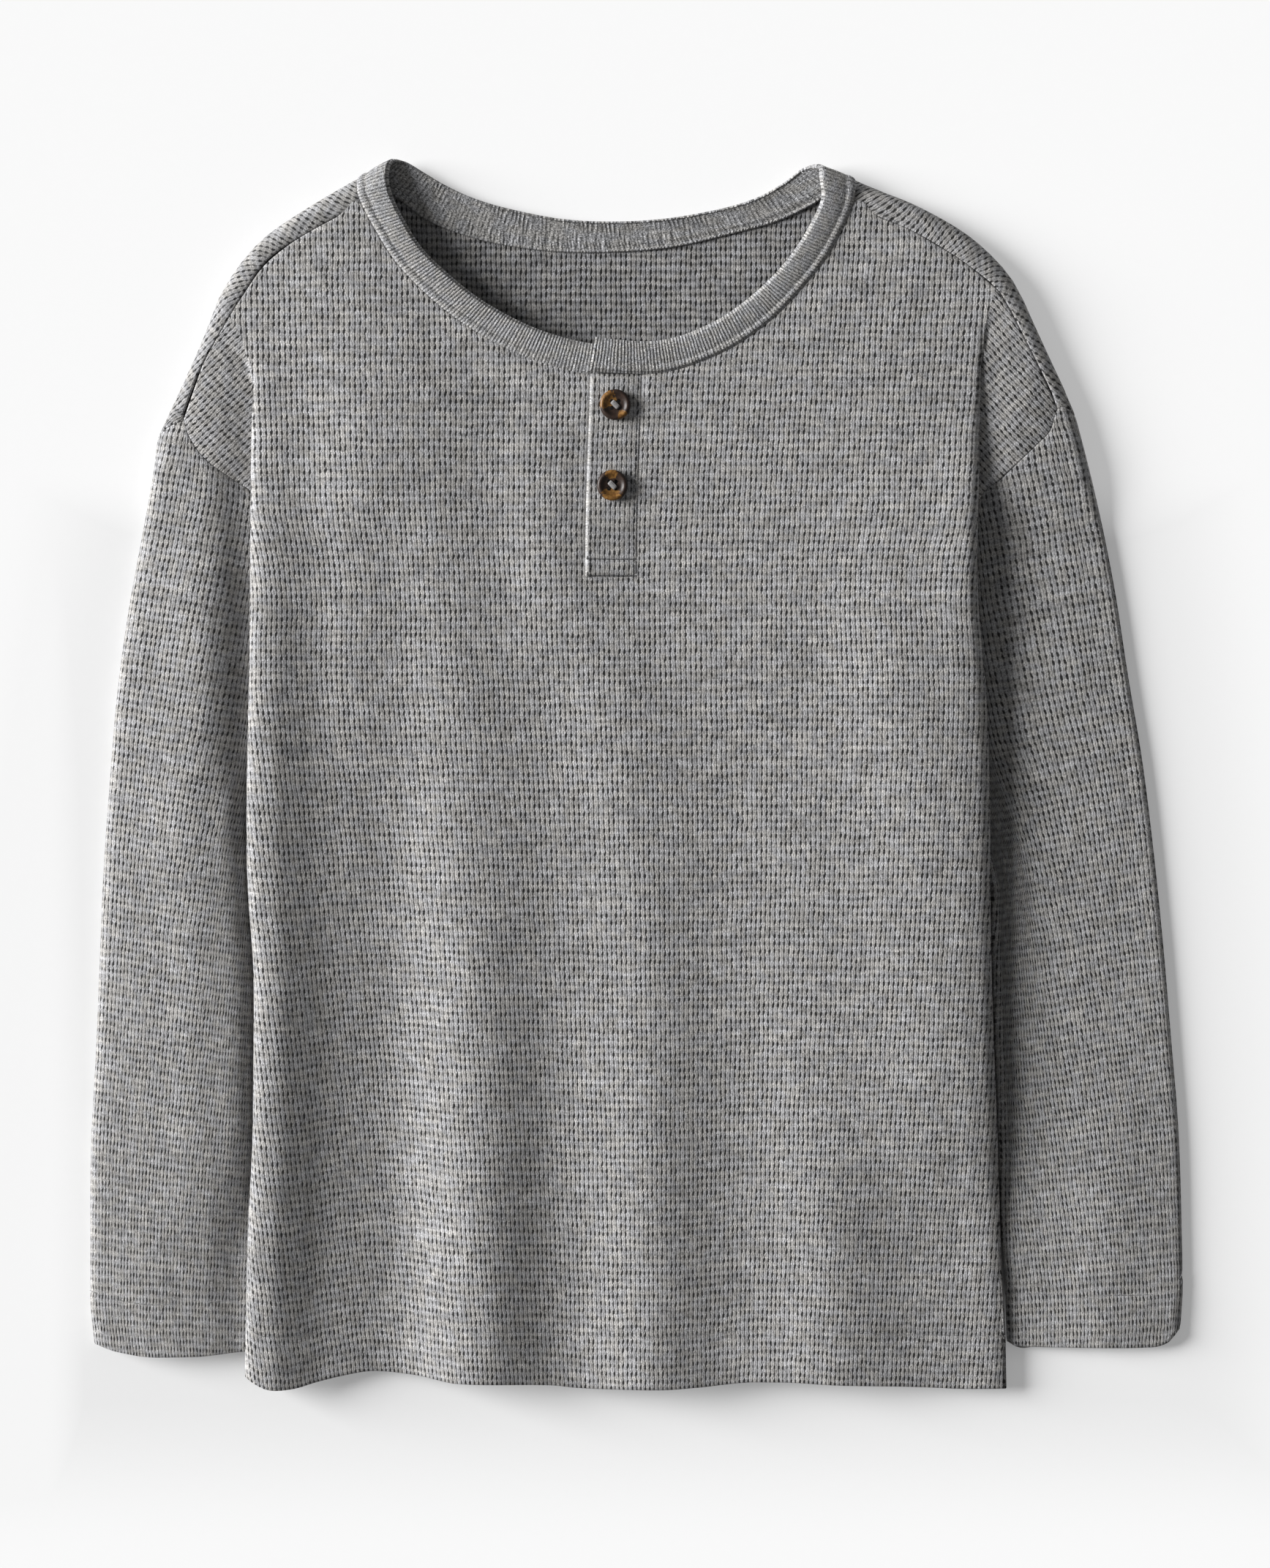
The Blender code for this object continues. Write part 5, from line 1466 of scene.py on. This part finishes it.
def tortoise_effect():
    """Amber clouds in dark brown resin.  Each cloud has a middle, in metres, and a radius."""
    r, given, out = effect(
        "tortoiseshell_resin",
        (("Vector", "Vector", None), ("Large cloud", "Vector", None),
         ("Large radius", "Float", 0.003), ("Small cloud", "Vector", None),
         ("Small radius", "Float", 0.002)),
        (("Colour", "Color"),))
    swirl = r.solid_noise(given["Vector"], 420.0, 2.0, 1.2)
    fine = r.solid_noise(given["Vector"], 1100.0, 3.0)
    wobble = r.times(r.centred(swirl), 1.3)
    amounts = []
    for size in ("Large", "Small"):
        gap = r.tree.nodes.new("ShaderNodeVectorMath")
        gap.operation = "DISTANCE"
        r.feed(gap.inputs[0], given["Vector"])
        r.feed(gap.inputs[1], given[size + " cloud"])
        radii = r.math("DIVIDE", gap.outputs["Value"], given[size + " radius"])
        amounts.append(r.add(radii, wobble))
    cloud = r.between(r.math("MINIMUM", *amounts), 1.1, 0.9)
    dark = r.blend(r.between(fine, 0.3, 0.7), (0.02, 0.012, 0.009, 1), (0.036, 0.02, 0.014, 1))
    amber = r.blend(r.between(fine, 0.3, 0.72), (0.11, 0.046, 0.009, 1), (0.24, 0.12, 0.028, 1))
    r.feed(out["Colour"], r.blend(cloud, dark, amber))
    return r.tree


def start_material(name):
    material = bpy.data.materials.new(name)
    material.use_nodes = True
    material.node_tree.nodes.clear()
    r = Recipe(material.node_tree)
    shader = r.node("ShaderNodeBsdfPrincipled")
    r.feed(r.node("ShaderNodeOutputMaterial").inputs["Surface"], shader.outputs[0])
    return material, r, shader


def use(r, group, **inputs):
    made = r.node("ShaderNodeGroup")
    made.node_tree = group
    for name, value in inputs.items():
        r.feed(made.inputs[name.replace("_", " ")], value)
    return made.outputs


def place_in_knit(r):
    knit = r.node("ShaderNodeUVMap")
    knit.uv_map = "knit"
    return knit.outputs[0]


def cloth_finish(shader):
    for name, value in (("Roughness", 0.92), ("Sheen Weight", 0.12), ("Sheen Roughness", 0.6),
                        ("Specular IOR Level", 0.15)):
        shader.inputs[name].default_value = value


def waffle_material(name, groups, colour, wale, course, depth, hole_length, row_depth, unevenness):
    """Waffle knit in the heather yarn, drawn on the cloth's own UV map."""
    material, r, shader = start_material(name)
    spot = place_in_knit(r)
    waffle = use(r, groups["waffle"], Knit_place=spot, Wale_pitch=wale, Course_pitch=course,
                 Hole_length=hole_length, Row_depth=row_depth, Unevenness=unevenness)
    yarn = use(r, groups["heather"], Knit_place=spot, Colour=colour, Streaks=0.9)
    r.feed(shader.inputs["Base Color"], r.shaded(yarn["Colour"], waffle["Tone and painted shade"]))
    r.emboss(shader, waffle["Height"], depth)
    cloth_finish(shader)
    return material


def rib_material(name, groups, colour):
    """Fine rib: the ribs are modelled, the yarn's loops are bump, and the grooves between the ribs
    are darker as painted shade.
    """
    material, r, shader = start_material(name)
    spot = place_in_knit(r)
    u, v = r.parts(spot)
    rib = r.math("ABSOLUTE", r.math("SINE", r.times(u, math.pi)))
    drift = r.centred(r.noise(spot, 0.9, 1.0))
    loop_place = r.times(r.add(v, r.times(drift, 0.5)), math.pi / 0.62)
    loops = r.math("ABSOLUTE", r.math("SINE", loop_place))
    fibre = r.noise(r.point(r.times(u, 2.2), r.times(v, 2.4)), 1.0, 2.0)
    height = r.add(r.times(loops, 0.2), r.times(fibre, 1.5), r.times(rib, 0.8))
    yarn = use(r, groups["heather"], Knit_place=r.point(r.times(v, 1.6), u), Colour=colour,
               Streaks=0.55)
    groove = r.math("POWER", r.math("SUBTRACT", 1.0, rib), 1.1)
    own = r.noise(r.point(r.times(u, 0.8), r.times(v, 0.75), 4.0), 1.0, 2.0)
    own = r.between(own, 0.3, 0.7, 0.0, 1.0, "LINEAR")
    # Painted shade: the grooves between the ribs are darker; own and fibre are the yarn's own tone.
    painted_groove_shade = r.times(groove, r.scaled(loops, 0.2, 0.44), r.scaled(own, -0.95, 1.35))
    shade = r.times(r.math("SUBTRACT", 1.0, painted_groove_shade), r.scaled(own, 0.3, 0.85),
                    r.scaled(fibre, 3.0, -0.5))
    r.feed(shader.inputs["Base Color"], r.shaded(yarn["Colour"], shade))
    r.emboss(shader, height, 0.22)
    cloth_finish(shader)
    return material


def thread_material(name, colour):
    """Twisted sewing thread."""
    material, r, shader = start_material(name)
    spot = r.node("ShaderNodeTexCoord").outputs["Object"]
    twist = r.solid_noise(spot, 1500.0, 2.0)
    shade = r.between(twist, 0.2, 0.8, 0.7, 1.2, "LINEAR")
    r.feed(shader.inputs["Base Color"], r.shaded(colour, shade))
    r.emboss(shader, twist, 0.08)
    cloth_finish(shader)
    return material


def resin_material(name, groups, centre, clouds):
    """Polished tortoiseshell resin, its clouds set for one button."""
    material, r, shader = start_material(name)
    spot = r.node("ShaderNodeTexCoord").outputs["Object"]
    resin = r.node("ShaderNodeGroup")
    resin.node_tree = groups["tortoise"]
    r.feed(resin.inputs["Vector"], spot)
    for size, (x, up, radius) in zip(("Large", "Small"), clouds):
        middle = [a + b for a, b in zip(centre, (MM * x, MM * up, 0))]
        resin.inputs[size + " cloud"].default_value = middle
        resin.inputs[size + " radius"].default_value = MM * radius
    r.feed(shader.inputs["Base Color"], resin.outputs["Colour"])
    scratches = r.solid_noise(spot, 2600.0, 3.0)
    r.feed(shader.inputs["Roughness"], r.between(scratches, 0.3, 0.75, 0.4, 0.55, "LINEAR"))
    r.emboss(shader, scratches, 0.02, 0.15)
    for socket, value in (("Specular IOR Level", 0.32), ("Coat Weight", 0.06),
                          ("Coat Roughness", 0.22)):
        shader.inputs[socket].default_value = value
    return material


def surface_material(name, colour, glow):
    """The plain pale surface that the top lies on, glowing a little as a light table does. The glow
    is painted light, which lifts the shadows cast on the surface.

    The glow is off below the garment, so the gaps between its parts stay dark, and it is weaker
    close to its sleeves and hem: both are painted shade.
    """
    material, r, shader = start_material(name)
    spot = r.node("ShaderNodeTexCoord").outputs["Object"]
    shade = r.between(r.solid_noise(spot, 260.0, 3.0), 0.2, 0.8, 0.99, 1.0, "LINEAR")
    r.feed(shader.inputs["Base Color"], r.shaded(colour, shade))
    for socket, value in (("Roughness", 0.8), ("Specular IOR Level", 0.0),
                          ("Emission Strength", glow)):
        shader.inputs[socket].default_value = value
    x, y = r.parts(spot)
    out = r.math("ABSOLUTE", x)
    # Painted shade: no glow under the garment, so the floor in the gaps between its parts stays
    # dark.
    glow_off_under_garment = r.largest(r.between(out, 0.155, 0.185), r.between(y, -0.2, -0.237),
                           r.between(y, 0.02, 0.07))
    from_cuff = r.math("ADD", y, 0.2)
    sleeve_line = r.scaled(r.times(from_cuff, from_cuff), 0.37, -0.2165)
    # Painted shade: the glow is weaker close to the sleeves and below the hem, not above the
    # shoulders, and only a little on the lit left side; near is the glow that is left.
    painted_shade_beside_sleeves = r.between(r.math("ADD", out, sleeve_line), 0.0, 0.07, 0.65, 1.0)
    painted_shade_below_hem = r.between(y, -0.232, -0.31, 0.6, 1.0)
    no_painted_shade_above_shoulders = r.between(y, 0.05, 0.12)
    less_painted_shade_on_lit_side = r.between(x, -0.19, -0.235, 0.0, 0.92)
    near = r.largest(painted_shade_beside_sleeves, painted_shade_below_hem, no_painted_shade_above_shoulders, less_painted_shade_on_lit_side)
    r.feed(shader.inputs["Emission Color"], r.grey(r.times(glow_off_under_garment, near)))
    return material


# ---- Buttons ----

def turned_button():
    """Points and faces of a button turned from its profile."""
    vertices, faces, rings = [], [], []
    for radius, height in BUTTON_PROFILE:
        count = 1 if radius == 0 else BUTTON_SIDES
        rings.append(list(range(len(vertices), len(vertices) + count)))
        for k in range(count):
            angle = 2 * math.pi * k / BUTTON_SIDES
            vertices.append((radius * math.cos(angle), radius * math.sin(angle), height))
    for below, above in zip(rings, rings[1:]):
        for k in range(BUTTON_SIDES):
            n = (k + 1) % BUTTON_SIDES
            if len(below) == 1:
                faces.append((below[0], above[n], above[k]))
            elif len(above) == 1:
                faces.append((below[k], below[n], above[0]))
            else:
                faces.append((below[k], below[n], above[n], above[k]))
    return vertices, faces


def make_button(name, up, seat, material, thread):
    """A turned four-hole button, sewn on with a bundle of thread."""
    x = centre_front(up)
    vertices, faces = turned_button()
    mesh = bpy.data.meshes.new(name + "_resin")
    mesh.from_pydata([place(x + a, up + b, seat + c) for a, b, c in vertices], [], faces)
    button = add_object(name + "_resin", mesh)
    cutters = []
    for a, b in ((1, 1), (-1, 1), (-1, -1), (1, -1)):
        bpy.ops.mesh.primitive_cylinder_add(
            vertices=HOLE_SIDES, radius=HOLE_RADIUS * MM, depth=9 * MM,
            location=place(x + a * HOLE_OFFSET, up + b * HOLE_OFFSET, seat + 1))
        cutters.append(bpy.context.object)
        cut = button.modifiers.new("hole", "BOOLEAN")
        cut.operation = "DIFFERENCE"
        cut.solver = "EXACT"
        cut.object = cutters[-1]
    soften = button.modifiers.new("softened_edges", "BEVEL")
    soften.width = BUTTON_SOFTENING * MM
    soften.segments = 2
    soften.limit_method = "ANGLE"
    soften.angle_limit = math.radians(50)
    turned = finished_mesh(button)
    button.modifiers.clear()
    button.data = turned
    for cutter in cutters:
        bpy.data.objects.remove(cutter)
    turned.shade_smooth()
    turned.materials.clear()
    turned.materials.append(material)
    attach(button, "root")
    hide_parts(name)
    make_button_thread(name + "_thread", x, up, seat, thread)


def make_button_thread(name, x, up, seat, material):
    """A bundle of thread strands across the middle, down through two opposite holes."""
    vertices, faces = [], []
    for strand in range(-3, 4):
        start = len(vertices)
        for step in range(STRAND_STEPS):
            t = 2 * step / (STRAND_STEPS - 1) - 1
            reach = HOLE_OFFSET * 2 * DIAGONAL * math.sin(t * math.pi / 2)
            bow = strand * STRAND_SPACING * (1 - 0.45 * abs(t) ** 3)
            high = (1.85 + 0.3 * (1 - (strand / 3.6) ** 2) + 0.06 * (strand % 2)
                    - 2.9 * abs(t) ** 8)
            for k in range(STRAND_SIDES):
                angle = 2 * math.pi * k / STRAND_SIDES
                sideways = bow + STRAND_RADIUS * math.cos(angle)
                vertices.append(((sideways + reach) * DIAGONAL, (sideways - reach) * DIAGONAL,
                                 high + STRAND_RADIUS * math.sin(angle)))
        faces += tube_faces(start, STRAND_SIDES, STRAND_STEPS)
        last = start + (STRAND_STEPS - 1) * STRAND_SIDES
        faces.append(tuple(start + k for k in reversed(range(STRAND_SIDES))))
        faces.append(tuple(last + k for k in range(STRAND_SIDES)))
    mesh = bpy.data.meshes.new(name)
    mesh.from_pydata([place(x + a, up + b, seat + c) for a, b, c in vertices], [], faces)
    mesh.shade_smooth()
    mesh.materials.append(material)
    thread = add_object(name, mesh)
    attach(thread, "root")


# ---- Stage ----

def set_stage():
    reach = SURFACE_REACH
    mesh = bpy.data.meshes.new("laying_surface")
    mesh.from_pydata([(-reach, -reach, 0), (reach, -reach, 0), (reach, reach, 0),
                      (-reach, reach, 0)], [], [(0, 1, 2, 3)])
    pale = (0.62, 0.62, 0.62, 1)
    mesh.materials.append(surface_material("matt_white_surface", pale, SURFACE_GLOW))
    add_object("laying_surface", mesh)
    sun = bpy.data.lights.new("window_side_light", "SUN")
    sun.energy = KEY_STRENGTH
    sun.angle = math.radians(KEY_SOFTNESS)
    lamp = add_object("window_side_light", sun)
    lamp.rotation_euler = (math.radians(90 - KEY_ELEVATION), 0, math.radians(KEY_TURN))
    world = bpy.data.worlds.new("soft_studio")
    bpy.context.scene.world = world
    world.use_nodes = True
    background = world.node_tree.nodes["Background"]
    background.inputs[0].default_value = (0.99, 0.995, 1.0, 1)
    background.inputs[1].default_value = FILL_STRENGTH
    bpy.context.scene.view_settings.view_transform = "Standard"


def set_camera():
    lens = bpy.data.cameras.new("overhead_camera")
    lens.sensor_fit = "VERTICAL"
    lens.sensor_height = SENSOR_HEIGHT
    lens.lens = SENSOR_HEIGHT * CAMERA_DISTANCE / CAMERA_FRAME
    lens.clip_end = 20
    camera = add_object("overhead_camera", lens)
    camera.location = (CAMERA_X, CAMERA_Y, CAMERA_DISTANCE)
    bpy.context.scene.camera = camera


# ---- The whole garment ----

# Stitches: pitch, length and thickness.
COVERSTITCH = (2.9, 2.5, 0.34)
NECK_STITCH = (2.7, 2.3, 0.32)
PLACKET_STITCH = (2.2, 1.7, 0.36)
BOX_STITCH = (1.75, 1.75, 0.6)

# Material: colour, wale and course pitch, relief, hole length, row depth, unevenness.
WAFFLES = {
    "mini_waffle_knit": ((0.4, 0.395, 0.394, 1), 1.905, 3.07, 0.46, 0.5, 0.1, 0.8),
    "waffle_knit_wrong_side": ((0.315, 0.312, 0.314, 1), 1.98, 3.07, 0.44, 0.58, 0.36, 0.6),
    "pressed_waffle_knit": ((0.38, 0.376, 0.375, 1), 1.9, 3.07, 0.36, 0.54, 0.05, 0.6),
    # The view-right sleeve's knit: deeper holes, and a darker colour that is painted shade.
    "relaxed_knit_with_painted_shade": ((0.365, 0.361, 0.36, 1), 1.905, 3.07, 0.5, 0.52, 0.1, 0.8),
    "shoulder_waffle_knit": ((0.375, 0.371, 0.371, 1), 1.93, 3.07, 0.44, 0.54, 0.1, 0.7),
}


def make_cloth(knits, rib):
    """The panels, the neckband and the placket.  Gives the grids that the stitches follow."""
    front, flat, area, front_points, from_hem = make_front()
    front.data.materials.append(knits["mini_waffle_knit"])
    declare(front, "front")
    back, flat, area = make_back()
    back.data.materials.append(knits["waffle_knit_wrong_side"])
    back.data.materials.append(knits["shoulder_waffle_knit"])
    for face in back.data.polygons:
        face.material_index = int(face.center.z > SHOULDER_SHOWS * MM)
    declare(back, "back")
    sleeve_points = {}
    # The view-right sleeve is darker than the front's cloth: painted shade.
    for side, knit in ((LEFT, "mini_waffle_knit"), (RIGHT, "relaxed_knit_with_painted_shade")):
        sleeve, flat, area, sleeve_points[side] = make_sleeve(side)
        sleeve.data.materials.append(knits[knit])
        declare(sleeve, SLEEVE_NAMES[side])
    band, flat, area, band_points = make_neckband()
    band.data.materials.append(rib)
    declare(band, "neckband")

    half, head = PLACKET_WIDTH / 2, PLACKET_HEAD - SEAM_GAP
    over = CLOTH / 2 + LAY_GAP + PLACKET_CLOTH / 2
    under = over - PLACKET_CLOTH - LAY_GAP
    overlap, overlap_points = placket_strip("placket_overlap", PLACKET_FOOT, head, half, over)
    underlap, _ = placket_strip("placket_underlap", SLOT_FOOT + SEAM_GAP, head - SEAM_GAP,
                                half - 0.5, under - UNDERLAP_SETTLED)
    for strip in (overlap, underlap):
        strip.data.materials.append(knits["pressed_waffle_knit"])
    return front_points, from_hem, sleeve_points, band_points, overlap_points


def sew_seams(front_points, from_hem, sleeve_points, band_points, overlap_points):
    """Rows of stitches at the hem, cuffs, neckband and placket."""
    stitch = thread_stitch()
    tree = stitch_tree(stitch, thread_material("grey_sewing_thread", (0.2, 0.2, 0.204, 1)))
    rows = [line_on_grid(front_points, from_hem, row, SHELL / 2 - 0.1) for row in HEM_STITCH_ROWS]
    sew("hem_coverstitch", rows, tree, COVERSTITCH)
    for side, points in sleeve_points.items():
        from_cuff = points[:, :, 1] - points[0][None, :, 1]
        rows = [line_on_grid(points, from_cuff, row, SHELL / 2 - 0.2) for row in HEM_STITCH_ROWS]
        sew(SLEEVE_NAMES[side] + "_cuff_coverstitch", rows, tree, COVERSTITCH)

    shares = np.array([row[0] for row in BAND_PROFILE])
    column = int(np.argmin(np.abs(shares - BAND_STITCH_SHARE)))
    normals = grid_normals(band_points)[:, column]
    above = (BAND_CLOTH / 2 - 0.22) * (-1 if normals[:, 2].mean() < 0 else 1)
    seam = band_points[::6, column] + normals[::6] * above
    sew("neckband_topstitch", [seam], tree, NECK_STITCH)

    # The placket's stitches are real thread; their near-black colour also stands in as painted
    # shade of the stitch grooves and of the strip's sewn edge.
    thread_with_painted_shade = thread_material("sewing_thread_darkened_as_painted_shade", (0.075, 0.075, 0.078, 1))
    box_tree = stitch_tree(stitch, thread_with_painted_shade)
    raised = overlap_points + np.array([0, 0, STRIP_SHELL / 2 - 0.05])
    box_row = int(np.argmin(np.abs(raised[:, 0, 1] - PLACKET_FOOT - PLACKET_BOX)))
    sew("placket_topstitch", [raised[1:, -3]], box_tree, PLACKET_STITCH)
    box = [raised[2, 3:-1], raised[box_row, 3:-1], raised[2:box_row + 1, 3]]
    sew("placket_box_stitch", box, box_tree, BOX_STITCH)
    bpy.data.objects.remove(stitch)


def make_buttons(groups):
    pale_thread = thread_material("pale_button_thread", (0.27, 0.262, 0.26, 1))
    for name, up in zip(("button_upper", "button_lower"), BUTTON_HEIGHTS):
        x = float(centre_front(up))
        seat = float(chest(x, up) + front_relief(x, up)) + BUTTON_SEAT
        resin = resin_material("tortoiseshell_" + name, groups, place(x, up, seat + 1.5),
                               AMBER_CLOUDS[name])
        make_button(name, up, seat, resin, pale_thread)


def main():
    set_stage()
    set_camera()
    groups = {"waffle": waffle_effect(), "heather": heather_effect(),
              "tortoise": tortoise_effect()}
    knits = {name: waffle_material(name, groups, *row) for name, row in WAFFLES.items()}
    rib = rib_material("fine_rib_knit", groups, (0.35, 0.348, 0.349, 1))
    sew_seams(*make_cloth(knits, rib))
    make_buttons(groups)


main()
